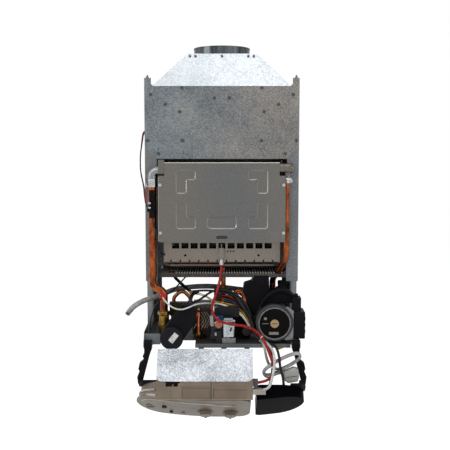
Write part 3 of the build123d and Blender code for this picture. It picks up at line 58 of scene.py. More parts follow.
def add_node(tree, kind, sockets=None, **settings):
    """Adds a node with its settings. A socket takes a value, or another node's output.

    A Map Range node's sockets 0 to 4 are its value, from low, from high, to low and to high.
    A colour Mix node's socket 0 is its share, and 6 and 7 are its two colours.
    """
    new = tree.nodes.new(kind)
    for key, value in settings.items():
        setattr(new, key, value)
    for key, value in (sockets or {}).items():
        if isinstance(value, bpy.types.NodeSocket):
            tree.links.new(value, new.inputs[key])
        else:
            new.inputs[key].default_value = value
    return new


def open_material(name, levels):
    """New material and its tree, with uniform levels on its shader's own sockets."""
    material = bpy.data.materials.new(name)
    material.use_nodes = True
    for key, value in levels.items():
        material.node_tree.nodes["Principled BSDF"].inputs[key].default_value = value
    return material, material.node_tree


def seen_itself(tree):
    """Light path, and a value that is one where the camera or a glossy surface sees the thing itself."""
    ray = add_node(tree, "ShaderNodeLightPath")
    either = {0: ray.outputs["Is Camera Ray"], 1: ray.outputs["Is Glossy Ray"]}
    return ray, add_node(tree, "ShaderNodeMath", either, operation="MAXIMUM").outputs[0]


camera = bpy.data.objects.new("camera", bpy.data.cameras.new("camera"))
camera.data.lens = 62.24
camera.data.shift_x = 0.0069
camera.location = (0.0, -2.201, -0.137)
camera.rotation_euler = (radians(84.56), 0.0, 0.0)
scene.collection.objects.link(camera)
scene.camera = camera

lit_middle = Vector((0.0, -0.15, -0.35))
for name, place, size, energy in (
    ("key_lamp", (-1.3, -2.3, 1.5), 1.2, 25.0),
    ("fill_lamp", (1.8, -2.0, 0.3), 1.4, 10.0),
    ("top_lamp", (0.2, -0.6, 2.0), 1.2, 10.0),
    ("side_lamp", (-2.1, -1.1, 0.2), 0.8, 11.0),
):
    lamp = bpy.data.objects.new(name, bpy.data.lights.new(name, "AREA"))
    lamp.data.size = size
    lamp.data.energy = energy
    lamp.location = place
    lamp.rotation_euler = (lit_middle - lamp.location).to_track_quat("-Z", "Y").to_euler()
    scene.collection.objects.link(lamp)

world = bpy.data.worlds.new("studio")
scene.world = world
world.use_nodes = True
sky = world.node_tree
sky.nodes.clear()
sky_ray, sky_seen = seen_itself(sky)
through = {0: sky_seen, 1: sky_ray.outputs["Is Transmission Ray"]}
shown = add_node(sky, "ShaderNodeMath", through, operation="MAXIMUM").outputs[0]
ambient = add_node(sky, "ShaderNodeBackground", {"Color": rgb("#EEF1F4"), "Strength": 0.34}).outputs[0]
surround = add_node(sky, "ShaderNodeBackground", {"Color": rgb("#FFFFFF"), "Strength": 1.0}).outputs[0]
sky_mix = add_node(sky, "ShaderNodeMixShader", {0: shown, 1: ambient, 2: surround})
add_node(sky, "ShaderNodeOutputWorld", {0: sky_mix.outputs[0]})

floor_reach, floor_z = 6.0, -1.35
floor_corners = [(u * floor_reach, v * floor_reach, floor_z) for u, v in ((-1, -1), (1, -1), (1, 1), (-1, 1))]
floor_levels = {"Base Color": rgb("#F4F4F2"), "Roughness": 0.9, "Emission Color": rgb("#FFFFFF")}
floor_paint, floor_tree = open_material("floor_paint", floor_levels)
glow = {0: seen_itself(floor_tree)[1], 1: 0.72}
floor_glow = add_node(floor_tree, "ShaderNodeMath", glow, operation="MULTIPLY").outputs[0]
floor_tree.links.new(floor_glow, floor_tree.nodes["Principled BSDF"].inputs["Emission Strength"])
floor_mesh = bpy.data.meshes.new("floor")
floor_mesh.from_pydata(floor_corners, [], [(0, 1, 2, 3)])
floor_mesh.materials.append(floor_paint)
floor = bpy.data.objects.new("floor", floor_mesh)
scene.collection.objects.link(floor)

# Side panels: folded zinc-coated sheet, 1.2 mm, with roll-formed flanges and a shear-cut edge.
# The coat is a fine matt grey that rubs lighter in patches.
def dress(material, *names):
    """Gives CAD nodes their finish."""
    for name in names:
        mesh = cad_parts[name].data
        mesh.materials.clear()
        mesh.materials.append(material)


def finish(tree, tone, wear, rough, height, bump, depth_mm):
    """Links to the shader a colour, a roughness that follows the wear, and a relief of a real depth."""
    gloss = add_node(tree, "ShaderNodeMapRange", {0: wear, 3: rough[0], 4: rough[1]})
    pits = {"Height": height, "Strength": bump, "Distance": depth_mm / 1000}
    relief = add_node(tree, "ShaderNodeBump", pits)
    sockets = tree.nodes["Principled BSDF"].inputs
    tree.links.new(tone, sockets["Base Color"])
    tree.links.new(gloss.outputs[0], sockets["Roughness"])
    tree.links.new(relief.outputs[0], sockets["Normal"])


def metal(
    name, dark, light, roughness, grain_mm,
    stretch=(1.0, 1.0, 1.0), metallic=1.0, bump=0.1, stain=None, stain_mm=60.0,
):
    """Worked metal: two tones in a grain of real size, with patches of a stain. The dark grain is rougher."""
    material, tree = open_material(name, {"Metallic": metallic})
    where = add_node(tree, "ShaderNodeTexCoord").outputs["Object"]
    pulled = add_node(tree, "ShaderNodeMapping", {"Vector": where, "Scale": stretch}).outputs[0]
    grit = {"Vector": pulled, "Scale": 1000 / grain_mm, "Detail": 5.0, "Roughness": 0.62}
    grain = add_node(tree, "ShaderNodeTexNoise", grit).outputs["Fac"]
    spread = add_node(tree, "ShaderNodeMapRange", {0: grain, 1: 0.32, 2: 0.68}).outputs[0]
    tones = {0: spread, 6: rgb(dark), 7: rgb(light)}
    tone = add_node(tree, "ShaderNodeMix", tones, data_type="RGBA").outputs[2]
    if stain:
        patches = {"Vector": where, "Scale": 1000 / stain_mm, "Detail": 3.0}
        patch = add_node(tree, "ShaderNodeTexNoise", patches).outputs["Fac"]
        cover = add_node(tree, "ShaderNodeMapRange", {0: patch, 1: 0.48, 2: 0.7}).outputs[0]
        tones = {0: cover, 6: tone, 7: rgb(stain)}
        tone = add_node(tree, "ShaderNodeMix", tones, data_type="RGBA").outputs[2]
    finish(tree, tone, spread, (roughness + 0.08, roughness - 0.06), grain, bump, 0.4)
    return material


coated_sheet = metal(
    "zinc_coated_sheet", "#55585A", "#83878A", 0.5, 2.2, metallic=0.75, stain="#6A6966", stain_mm=80.0
)
dress(coated_sheet, "side_panel_left", "side_panel_right")

# Hanging rail, back panel and bottom plate: hot-dip galvanised sheet, folded and spot-welded to the sides.
# The frozen zinc shows as crystals, a few millimetres wide, each in its own tone.
# The bottom plate is painted dark inside as painted shade, and lighter on the lip at its front as painted
# light.
def spangled(name, dark, light, spangle_mm, roughness, right=None, contrast=1.0, metallic=0.85):
    """Galvanised sheet with crystals of a real size. A second light tone can drift in at the right."""
    material, tree = open_material(name, {"Metallic": metallic})
    where = add_node(tree, "ShaderNodeTexCoord").outputs["Object"]
    crystals = add_node(tree, "ShaderNodeTexVoronoi", {"Vector": where, "Scale": 1000 / spangle_mm})
    each = add_node(tree, "ShaderNodeSeparateColor", {0: crystals.outputs["Color"]})
    frost = {"Vector": where, "Scale": 1600 / spangle_mm, "Detail": 3.0, "Roughness": 0.7}
    fine = add_node(tree, "ShaderNodeTexNoise", frost).outputs["Fac"]
    patches = {"Vector": where, "Scale": 11.0, "Detail": 4.0, "Roughness": 0.6}
    clouds = add_node(tree, "ShaderNodeTexNoise", patches).outputs["Fac"]
    grain = {0: each.outputs[0], 1: 0.45, 2: fine}
    grain = add_node(tree, "ShaderNodeMath", grain, operation="MULTIPLY_ADD").outputs[0]
    share = {0: clouds, 1: 0.9, 2: grain}
    share = add_node(tree, "ShaderNodeMath", share, operation="MULTIPLY_ADD").outputs[0]
    span = 0.42 / contrast
    level = add_node(tree, "ShaderNodeMapRange", {0: share, 1: 1.17 - span, 2: 1.17 + span}).outputs[0]
    bright = rgb(light)
    if right:
        axes = add_node(tree, "ShaderNodeSeparateXYZ", {0: where})
        drift = {0: clouds, 1: 0.5, 2: axes.outputs[0]}
        drift = add_node(tree, "ShaderNodeMath", drift, operation="MULTIPLY_ADD").outputs[0]
        side = add_node(tree, "ShaderNodeMapRange", {0: drift, 1: 0.1, 2: 0.4}).outputs[0]
        lights = {0: side, 6: rgb(light), 7: rgb(right)}
        bright = add_node(tree, "ShaderNodeMix", lights, data_type="RGBA").outputs[2]
    tone = add_node(tree, "ShaderNodeMix", {0: level, 6: rgb(dark), 7: bright}, data_type="RGBA").outputs[2]
    finish(tree, tone, each.outputs[1], (roughness - 0.08, roughness + 0.1), fine, 0.1, 0.2)
    return material


def zoned(material, axis, start, end, tone, amount=1.0):
    """Turns a material's colour to another tone from one millimetre along an axis to another."""
    tree = material.node_tree
    socket = tree.nodes["Principled BSDF"].inputs["Base Color"]
    where = add_node(tree, "ShaderNodeTexCoord").outputs["Object"]
    spot = add_node(tree, "ShaderNodeSeparateXYZ", {0: where}).outputs[axis]
    reach = {0: spot, 1: start / 1000, 2: end / 1000, 4: amount}
    share = add_node(tree, "ShaderNodeMapRange", reach).outputs[0]
    tones = {0: share, 6: socket.links[0].from_socket, 7: rgb(tone)}
    tree.links.new(add_node(tree, "ShaderNodeMix", tones, data_type="RGBA").outputs[2], socket)


away, up = 1, 2
galvanised = spangled("galvanised_sheet", "#565A5C", "#8C9091", 3.2, 0.42)
dress(galvanised, "hanging_rail", "back_panel")
# Painted shade on the plate's inside, and painted light on its front lip.
shaded_floor_sheet = spangled("galvanised_floor_painted_shade", "#1E1B19", "#443F3A", 3.2, 0.6, metallic=0.4)
zoned(shaded_floor_sheet, away, -287.5, -289, "#72777A", 0.9)
dress(shaded_floor_sheet, "bottom_plate")

# Expansion vessel: pressed steel shells, seam-rolled and dipped in red lacquer with a light orange peel.
# It hangs behind the combustion chamber.
red_lacquer = metal("red_lacquered_steel", "#7E1712", "#98211A", 0.38, 4.0, metallic=0.0, bump=0.15)
dress(red_lacquer, "expansion_vessel")

# Diverter plate and flue hood: galvanised sheet, laser cut, folded and joined with self-tapping screws.
# The front plate is duller, bluish at the left and warm at the right. The hood's sheet is painted bright, a
# painted highlight where its upward slope takes the light from above.
front_zinc = spangled("weathered_galvanised_plate", "#4E5356", "#8A9195", 2.6, 0.42, right="#96908A")
dress(front_zinc, "diverter_plate")
# Painted highlight: the hood's bright tone stands in for the light on its upward slope.
bright_zinc = spangled("galvanised_hood_painted_highlight", "#9AA2A8", "#D6DBDE", 2.8, 0.42, contrast=0.9, metallic=0.6)
dress(bright_zinc, "flue_hood")

# Flue collar: deep-drawn aluminised steel, pressed into the hood's opening.
# The drawing leaves upright marks, so the grain is long and runs up the collar.
drawn_steel = metal(
    "drawn_aluminised_steel", "#25292C", "#5E6367", 0.34, 16.0, stretch=(1.0, 1.0, 0.12), bump=0.06
)
dress(drawn_steel, "flue_collar")

# Combustion chamber: a box of aluminised steel sheet with a pressed front cover, screwed on.
# Heat has turned the cover brownish towards the left and bluish towards the right of its middle.
# Its pressed areas are outlined by slopes in a lighter tone, a painted highlight, and its folds are strips of
# a brighter painted highlight.
# Sizes and places here and below are in millimetres. A place or a route turns them to metres.
def heated_sheet(name, left, middle, right, grain, roughness):
    """Aluminised sheet with a fine mottled skin and heat tones that run across its width."""
    material, tree = open_material(name, {"Metallic": 0.85})
    where = add_node(tree, "ShaderNodeTexCoord").outputs["Object"]
    axes = add_node(tree, "ShaderNodeSeparateXYZ", {0: where})
    wander = add_node(tree, "ShaderNodeTexNoise", {"Vector": where, "Scale": 8.0, "Detail": 3.0})
    shifted = {0: wander.outputs["Fac"], 1: 0.16, 2: axes.outputs[0]}
    shifted = add_node(tree, "ShaderNodeMath", shifted, operation="MULTIPLY_ADD").outputs[0]
    tone = rgb(left)
    for start, end, heat in ((-0.05, 0.1, middle), (0.13, 0.24, right)):
        share = add_node(tree, "ShaderNodeMapRange", {0: shifted, 1: start, 2: end}).outputs[0]
        tones = {0: share, 6: tone, 7: rgb(heat)}
        tone = add_node(tree, "ShaderNodeMix", tones, data_type="RGBA").outputs[2]
    mottle = {"Vector": where, "Scale": 420.0, "Detail": 3.0, "Roughness": 0.7}
    specks = add_node(tree, "ShaderNodeTexNoise", mottle).outputs["Fac"]
    speck = add_node(tree, "ShaderNodeMapRange", {0: specks, 1: 0.35, 2: 0.7, 4: 0.55}).outputs[0]
    tone = add_node(tree, "ShaderNodeMix", {0: speck, 6: tone, 7: rgb(grain)}, data_type="RGBA").outputs[2]
    finish(tree, tone, specks, (roughness - 0.08, roughness + 0.1), specks, 0.1, 0.3)
    return material


def new_piece(name, verts, faces, material, body, smooth=True):
    """Mesh piece with one material that rides on a body."""
    mesh = bpy.data.meshes.new(name)
    mesh.from_pydata([tuple(v) for v in verts], [], faces)
    mesh.materials.append(material)
    mesh.update()
    if smooth:
        mesh.shade_smooth()
        mesh.set_sharp_from_angle(angle=radians(40))
    piece = bpy.data.objects.new(name, mesh)
    scene.collection.objects.link(piece)
    if body:
        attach(piece, body)
    return piece


def inset(outline, amount):
    """Outline moved inwards by an amount, corner by corner. It runs anticlockwise as the viewer sees it."""
    moved = []
    for k, spot in enumerate(outline):
        here = Vector(spot)
        a = (here - Vector(outline[k - 1])).normalized()
        b = (Vector(outline[(k + 1) % len(outline)]) - here).normalized()
        moved.append(here + Vector((-a.y - b.y, a.x + b.x)) * amount / (1 + a.dot(b)))
    return moved


def rounded(corners, radius, steps=4):
    """Outline with its corners rounded. Corners run anticlockwise."""
    outline = []
    for k, spot in enumerate(corners):
        here = Vector(spot)
        before = (Vector(corners[k - 1]) - here).normalized() * radius
        after = (Vector(corners[(k + 1) % len(corners)]) - here).normalized() * radius
        for i in range(steps + 1):
            t = i / steps
            outline.append(here + before * (1 - t) ** 2 + after * t ** 2)
    return outline


def facing(x, y, z, turn=0):
    """Place that faces the viewer: u to the right, v up and w away, turned about w in degrees."""
    c, s = cos(radians(turn)), sin(radians(turn))
    return lambda u, v, w: Vector((x + u * c - v * s, y + w, z + u * s + v * c)) / 1000


def lying(x, y, z):
    """Place that faces up: u to the right, v to the wall and w down."""
    return lambda u, v, w: Vector((x + u, y + v, z - w)) / 1000


def skin(name, rings, place, material, body, caps=(True, True)):
    """Closed rings of u, v spots at depths w, joined to one skin from the front to the back."""
    count = len(rings[0][0])
    verts = [place(u, v, w) for ring, w in rings for u, v in ring]
    faces = [tuple(range(count))] if caps[0] else []
    for i in range(len(rings) - 1):
        for k in range(count):
            n = (k + 1) % count
            faces.append((i * count + k, (i + 1) * count + k, (i + 1) * count + n, i * count + n))
    if caps[1]:
        faces.append(tuple(reversed(range((len(rings) - 1) * count, len(rings) * count))))
    return new_piece(name, verts, faces, material, body)


def plate(name, outline, depth, place, material, body="chassis", edge=0.5):
    """Sheet or block with a broken front edge."""
    rings = [(inset(outline, edge), 0), (outline, edge), (outline, depth)]
    return skin(name, rings, place, material, body)


def block(name, size, place, material, body="chassis", corner=0, edge=0.5):
    """Rectangular plate of a width, height and depth about its place, with rounded corners or sharp ones."""
    u, v = size[0] / 2, size[1] / 2
    outline = [(-u, -v), (u, -v), (u, v), (-u, v)]
    return plate(name, rounded(outline, corner) if corner else outline, size[2], place, material, body, edge)


cover_sheet = heated_sheet("heat_toned_aluminised_sheet", "#615E59", "#56585B", "#625F5A", "#85827D", 0.42)
dress(cover_sheet, "chamber_cover")
shell_sheet = heated_sheet("aluminised_chamber_sheet", "#5F5C57", "#5B5A57", "#5F5C57", "#7D7973", 0.46)
dress(shell_sheet, "chamber_shell")
# Painted highlight: a lighter metal on the pressed slopes.
pressed_edge_highlight = metal("pressed_edge_painted_highlight", "#5E5B56", "#928E87", 0.3, 1.6, metallic=0.9)
upper_press = [
    (-116, -244), (-88, -244), (-88, -210), (-65.5, -210), (-65.5, -184), (-116, -184)
]
lower_press = [
    (-116, -333), (-65.5, -333), (-65.5, -302), (-88, -302), (-88, -267), (-116, -267)
]
middle_press = [(-38, -333), (38, -333), (38, -302), (-38, -302)]
press_width, press_depth = 2.6, 1.9
for name, corners, radius in (
    ("pressed_upper_left", upper_press, 2),
    ("pressed_upper_right", [(-u, v) for u, v in reversed(upper_press)], 2),
    ("pressed_lower_left", lower_press, 6),
    ("pressed_lower_right", [(-u, v) for u, v in reversed(lower_press)], 6),
    ("pressed_middle", middle_press, 10),
):
    outline = rounded(corners, radius)
    slope = [(outline, 0), (inset(outline, press_width), press_depth)]
    skin(name, slope, facing(0, -252.05, 0), pressed_edge_highlight, "chassis", caps=(False, False))
# Painted highlight: the top and left folds of the cover are bright strips for the light they catch.
bright_fold = metal("folded_edge_painted_highlight", "#8E8B85", "#CFCBC4", 0.32, 1.6, metallic=0.9)
# Soot-black steel, also used as painted shade in slots, gaps and under edges.
soot_and_shade_black = metal("soot_and_painted_shade_black", "#0B0A09", "#221E1B", 0.6, 1.5, metallic=0.4, bump=0.2)
for name, width, height, depth, x, y, z, material in (
    ("cover_top_fold", 289, 2.4, 1.2, 0, -252.6, -166.8, bright_fold),
    ("cover_left_fold", 1.4, 160, 1, -159.4, -252.4, -284, bright_fold),
    ("header_flange_tab", 15.5, 35, 1.2, -152, -253, -176.5, shell_sheet),
    ("header_tab_hem", 12, 3, 2, -152.5, -252.5, -195.5, soot_and_shade_black),
):
    block(name, (width, height, depth), facing(x, y, z), material)
mica = metal("smoked_mica", "#15110E", "#2B221B", 0.2, 3.0, metallic=0.0, bump=0.02)
dress(mica, "sight_glass")

# Sheet screws: pan heads with a cross slot, cold-headed steel with a bright zinc plating.
# Those of the cover are new and bright. The ones in the plate and the hood have gone dull and dark.
zinc_screw = metal("bright_zinc_plated_screw", "#6B6F72", "#D9DCDE", 0.3, 0.8, bump=0.05)
zoned(zinc_screw, away, -245, -240, "#33363A", 0.9)
dress(zinc_screw, "sheet_screws")

# Chamber lining and heat exchanger: pressed ceramic fibre board, and copper fins brazed on copper tubes.
# The board is chalky and rough, and the fins are stained brown by the heat.
fibre_board = metal("pressed_ceramic_fibre", "#C9C3B6", "#E8E3D8", 0.9, 2.5, metallic=0.0, bump=0.5)
dress(fibre_board, "chamber_insulation")
fin_copper = metal("heat_stained_fin_copper", "#6E3B26", "#B06C48", 0.4, 5.0, stain="#4A3B36", stain_mm=40.0)
dress(fin_copper, "heat_exchanger")

# Burner: a stainless front strip with square windows before rows of stamped blades, on a gas manifold.
# The windows look black, because the blades behind them are sooted. Below the strip they are paler.
# A seam of red-brown oxide runs under the strip's left half, and a black strip lies along the gap under its
# right half.
burner_sheet = heated_sheet("stainless_burner_sheet", "#6E665E", "#716A62", "#6C645C", "#958D84", 0.38)
dress(burner_sheet, "burner_front", "gas_manifold")
sooted_blade = metal("sooted_stainless_blade", "#0F0E0D", "#2B2826", 0.55, 2.0)
zoned(sooted_blade, up, -431, -436, "#5E5A55", 0.6)
dress(sooted_blade, "burner_blades")
red_primer = metal("red_brown_oxide_seam", "#4A241C", "#7A4336", 0.6, 4.0, metallic=0.2, bump=0.2)
block("burner_seam_left", (138, 2.4, 1), facing(-78, -222.9, -421.5), red_primer)
block("burner_seam_right", (136, 2.4, 1), facing(77, -222.9, -421.5), soot_and_shade_black)

# Air tray: galvanised sheet with a row of punched slots, hung under the burner, and a dark woven gauze below.
# Its front lip is dark, and its floor behind the lip is painted lighter as painted light against its shade.
# Between the slots stand louvres in a light zinc, a painted highlight, over a black sheet of painted shade.
# Painted light: the tray's floor behind the lip is lightened against the shade it lies in.
tray_sheet_painted_light = spangled("galvanised_tray_painted_light", "#1F1F20", "#544F4C", 3.0, 0.5)
zoned(tray_sheet_painted_light, away, -221.5, -219, "#B4AEA4", 0.85)
dress(tray_sheet_painted_light, "air_tray")
gauze = metal("woven_dark_gauze", "#232426", "#5A5B5E", 0.6, 1.2, metallic=0.5, bump=0.5)
block("tray_gauze", (318, 148, 0.8), lying(0, -137, -458.5), gauze)
# Painted shade: a black sheet under the louvres stands for the dark gaps between them.
block("tray_slot_shadow", (276, 84, 0.4), lying(19, -171.5, -451.4), soot_and_shade_black, edge=0.1)
louvre_count, louvre_pitch, louvre_start = 41, 6.8, -117
louvre_section = ((-1.6, -451.5), (1.6, -451.5), (1, -449), (-1, -449))
louvre_verts, louvre_faces = [], []
for count in range(louvre_count):
    x = louvre_start + louvre_pitch * count
    louvre_verts += [Vector((x + half, y, z)) / 1000 for y in (-213, -130) for half, z in louvre_section]
    for side in ((0, 1, 2, 3), (4, 7, 6, 5), (0, 4, 5, 1), (1, 5, 6, 2), (3, 2, 6, 7), (0, 3, 7, 4)):
        louvre_faces.append(tuple(count * 8 + corner for corner in side))
# Painted highlight: the louvres' light zinc stands in for the light on their tops.
louvre_highlight_zinc = metal("zinc_louvre_painted_highlight", "#8C8A86", "#DEDCD6", 0.4, 2.0, metallic=0.6)
new_piece("tray_louvres", louvre_verts, louvre_faces, louvre_highlight_zinc, "chassis", smooth=False)

# Ignition electrode: a glazed alumina insulator in a folded steel clamp, screwed before the burner strip.
# A white glazed cap at its foot takes the lead.
def turned(name, profile, place, material, body="chassis", sides=40):
    """Turned piece: pairs of radius and depth, from the front to the back."""
    angles = [2 * pi * k / sides for k in range(sides)]
    rings = [([(r * cos(a), r * sin(a)) for a in angles], w) for r, w in profile]
    return skin(name, rings, place, material, body)


glazed_ceramic = metal("glazed_alumina_insulator", "#8E8981", "#B5B0A7", 0.3, 3.0, metallic=0.0, bump=0.03)
dress(glazed_ceramic, "ignition_electrode")
block("electrode_clamp", (11, 29, 12), facing(-1, -235.5, -397), burner_sheet, corner=1)
cap_ceramic = metal("white_glazed_ceramic_cap", "#C9C7C2", "#E6E4DF", 0.25, 3.0, metallic=0.0, bump=0.03)
cap_profile = [(2.2, 0), (4.2, 4), (4.6, 10), (4.6, 13.5)]
turned("electrode_cap", cap_profile, lying(-1, -230.8, -413), cap_ceramic, sides=20)

# Elbows of the heat exchanger: die-cast aluminium, shot-blasted to a fine pebbled grey.
# The right one is stained by heat, and a bright spring clip holds the pipe's end on its spigot.
# The left one holds its pipe with a hexagon nut.
cast_aluminium = metal("shot_blasted_cast_aluminium", "#55575A", "#A0A2A3", 0.42, 1.6, bump=0.3)
dress(cast_aluminium, "flow_elbow")
worn_casting = metal(
    "heat_stained_cast_aluminium", "#4B4743", "#7F7972", 0.42, 2.2, bump=0.3, stain="#5A524B", stain_mm=14.0
)
return_header = turned(
    "return_header_casting",
    [(6, 0), (10.5, 2), (12.2, 6), (12.5, 12), (12.5, 45)],
    lambda u, v, w: Vector((181 - w, -239.5 - v, -180.5 + u)) / 1000,
    worn_casting,
)
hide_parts("return_elbow")
clip_steel = metal("bright_spring_steel_clip", "#6F7376", "#D5D8DA", 0.24, 1.2)
spigot_profile = [(8.8, 0), (8.8, 24), (7.8, 25), (7.8, 34)]
clip_profile = [(9.8, 0), (10.4, 1), (10.4, 11.5), (9.8, 12.5)]
header_nut_profile = [(15, 0), (16.2, 2), (16.2, 18), (15, 20.5)]
turned("return_header_spigot", spigot_profile, lying(165.5, -239, -183), worn_casting, sides=28)
turned("return_spring_clip", clip_profile, lying(165.5, -239, -204.5), clip_steel, sides=28)
turned("header_nut", header_nut_profile, lying(-176, -238.5, -207.2), clip_steel, sides=6)
block("clip_ear", (7, 9, 3), facing(173.5, -250.5, -211, 20.0), clip_steel, corner=2)

# Pipes: drawn copper tube, bent cold, with brown heat and flux stains near the joints.
# The thin water pipes are painted brighter, as painted light against the shade they sit in. Turned brass
# nuts, tails and stubs join them all.
# Moulded and brass caps close the stubs under the bottom plate.
def moulding(name, tone, shade, roughness, texture_mm=0.6, bump=0.2, sheen=0.2):
    """Injection-moulded plastic: spark-eroded texture on the skin and a faint drift of tone."""
    material, tree = open_material(name, {"IOR": 1.5, "Specular IOR Level": sheen})
    where = add_node(tree, "ShaderNodeTexCoord").outputs["Object"]
    drift = add_node(tree, "ShaderNodeTexNoise", {"Vector": where, "Scale": 1000 / 40.0, "Detail": 4.0})
    spread = add_node(tree, "ShaderNodeMapRange", {0: drift.outputs["Fac"], 1: 0.3, 2: 0.7}).outputs[0]
    tones = {0: spread, 6: rgb(shade), 7: rgb(tone)}
    colour = add_node(tree, "ShaderNodeMix", tones, data_type="RGBA").outputs[2]
    sparks = {"Vector": where, "Scale": 1000 / texture_mm, "Detail": 3.0}
    texture = add_node(tree, "ShaderNodeTexNoise", sparks).outputs["Fac"]
    finish(tree, colour, texture, (roughness - 0.06, roughness + 0.08), texture, bump, 0.2)
    return material


pipe_copper = metal(
    "drawn_copper_tube", "#6C3219", "#A55C38", 0.3, 7.0,
    stretch=(1.0, 1.0, 0.35), bump=0.04, stain="#4A2818", stain_mm=35.0,
)
dress(pipe_copper, "flow_pipe", "return_pipe", "gas_pipe")
# Painted light: a brighter copper for the water pipes.
water_pipe_lit_copper = metal(
    "drawn_copper_painted_light", "#8A4526", "#CC8052", 0.3, 6.0, stretch=(1.0, 1.0, 0.35), bump=0.04
)
dress(water_pipe_lit_copper, "water_pipes")
turned_brass = metal(
    "turned_brass", "#5E4420", "#A8853F", 0.3, 3.0, bump=0.08, stain="#4E3518", stain_mm=22.0
)
dress(turned_brass, "union_nuts", "flow_group", "connection_stubs")
nut_profile = [(14.5, 0), (16.8, 2), (16.8, 9), (14.5, 11)]
tail_profile = [(12.4, 0), (13, 1), (13, 34)]
cone_profile = [(8.6, 0), (9, 1), (9, 10), (5.2, 17), (4, 18)]
turned("flow_union_nut", nut_profile, lying(-148, -238.5, -544.5), turned_brass, sides=6)
turned("flow_union_tail", tail_profile, lying(-148, -238.5, -555.5), turned_brass, sides=28)
turned("bypass_brass_cone", cone_profile, lying(-59.5, -240, -598), turned_brass, sides=24)
red_clip = moulding("red_polyamide_clip", "#C8261F", "#9E1A16", 0.35, sheen=0.4)
block(
    "flow_pipe_red_clip", (15.5, 13.5, 12), facing(-150, -255.5, -505, -28.0), red_clip, corner=2
)
black_nylon = moulding("glass_filled_black_nylon", "#17171A", "#0E0E10", 0.5, sheen=0.06)
stub_profile = [(7, 0), (7, 13.3), (5.8, 14.8)]
for name, x, material in (
    ("stub_end_left", -52, black_nylon),
    ("stub_end_gas", 5, moulding("red_brown_cap", "#6A1E1A", "#451310", 0.4)),
    ("stub_end_right", 63, black_nylon),
    ("stub_end_return", 142, turned_brass),
):
    turned(name, stub_profile, lying(x, -281, -618.7), material, sides=20)

# Diverter valve: a stainless spindle in the brass group, driven by a geared motor in a black moulded case.
# The case's cover has a rim in a lighter black, a painted highlight, and a blank white foil sticks on it. The
# group's rear is painted dark as painted shade.
def pvc(name, tone, shade, roughness=0.42, grime_mm=9.0):
    """Soft PVC: a satin skin with faint cloudy tones and fine drag lines from the die or the roll."""
    material, tree = open_material(name, {"IOR": 1.53, "Specular IOR Level": 0.22})
    where = add_node(tree, "ShaderNodeTexCoord").outputs["Object"]
    grime = {"Vector": where, "Scale": 1000 / grime_mm, "Detail": 4.0}
    clouds = add_node(tree, "ShaderNodeTexNoise", grime).outputs["Fac"]
    spread = add_node(tree, "ShaderNodeMapRange", {0: clouds, 1: 0.35, 2: 0.65}).outputs[0]
    tones = {0: spread, 6: rgb(shade), 7: rgb(tone)}
    colour = add_node(tree, "ShaderNodeMix", tones, data_type="RGBA").outputs[2]
    drag = add_node(tree, "ShaderNodeTexNoise", {"Vector": where, "Scale": 1400.0, "Detail": 2.0})
    finish(tree, colour, clouds, (roughness - 0.08, roughness + 0.1), drag.outputs["Fac"], 0.12, 0.3)
    return material


dress(black_nylon, "diverter_motor", "overheat_thermostat")
# Painted highlight: the rim's lighter black.
turned(
    "motor_cover_rim",
    [(25, 0), (26.4, -0.7), (27.6, 0), (29, 2.2), (29, 12)],
    facing(-125, -304.2, -601.5),
    moulding("black_nylon_rim_painted_highlight", "#1E1E23", "#131317", 0.45, sheen=0.1),
)
white_foil = pvc("printed_white_foil", "#EDEDEB", "#BDBDBA", 0.35, grime_mm=4.0)
label_place = facing(-120.2, -305.2, -599.5, -38.0)
block("motor_blank_label", (13.8, 26, 0.4), label_place, white_foil, corner=1)
# Painted shade: the group's rear is a dark brass for the shade behind the motor.
plate(
    "flow_group_rear",
    [
        (-136, -566), (-115, -566), (-107, -548),
        (-78, -545), (-78, -531), (-137, -531),
    ],
    20,
    facing(0, -200, 0),
    metal("brass_body_painted_shade", "#231E13", "#4C4128", 0.45, 3.0, bump=0.2),
    edge=1,
)
spindle_steel = metal("ground_stainless_steel", "#8E8C88", "#C4C2BE", 0.22, 1.0, bump=0.02)
dress(spindle_steel, "diverter_spindle", "pump_rotor")

# Plate heat exchanger: thin stainless plates, pressed in a herringbone and brazed with copper.
# The pack is painted dark as painted shade under the cover, and the ridges of its front are rubbed bare.
plate_pack = metal(
    "brazed_stainless_plates", "#1C1815", "#3A302A", 0.6, 2.4,
    metallic=0.4, bump=0.3, stain="#3A241B", stain_mm=25.0,
)
dress(plate_pack, "plate_exchanger")
plate_ridge = metal("rubbed_plate_ridge", "#5C5249", "#A99C8E", 0.36, 2.0, bump=0.2)
for name, height, z, turn in (("plate_ridge_%d", 26, -561, 32.0), ("plate_ridge_low_%d", 24, -583, -32.0)):
    for count in range(6):
        ridge_place = facing(-66 + 6.5 * count, -226.5, z, turn)
        block(name % count, (1.7, height, 1.5), ridge_place, plate_ridge)

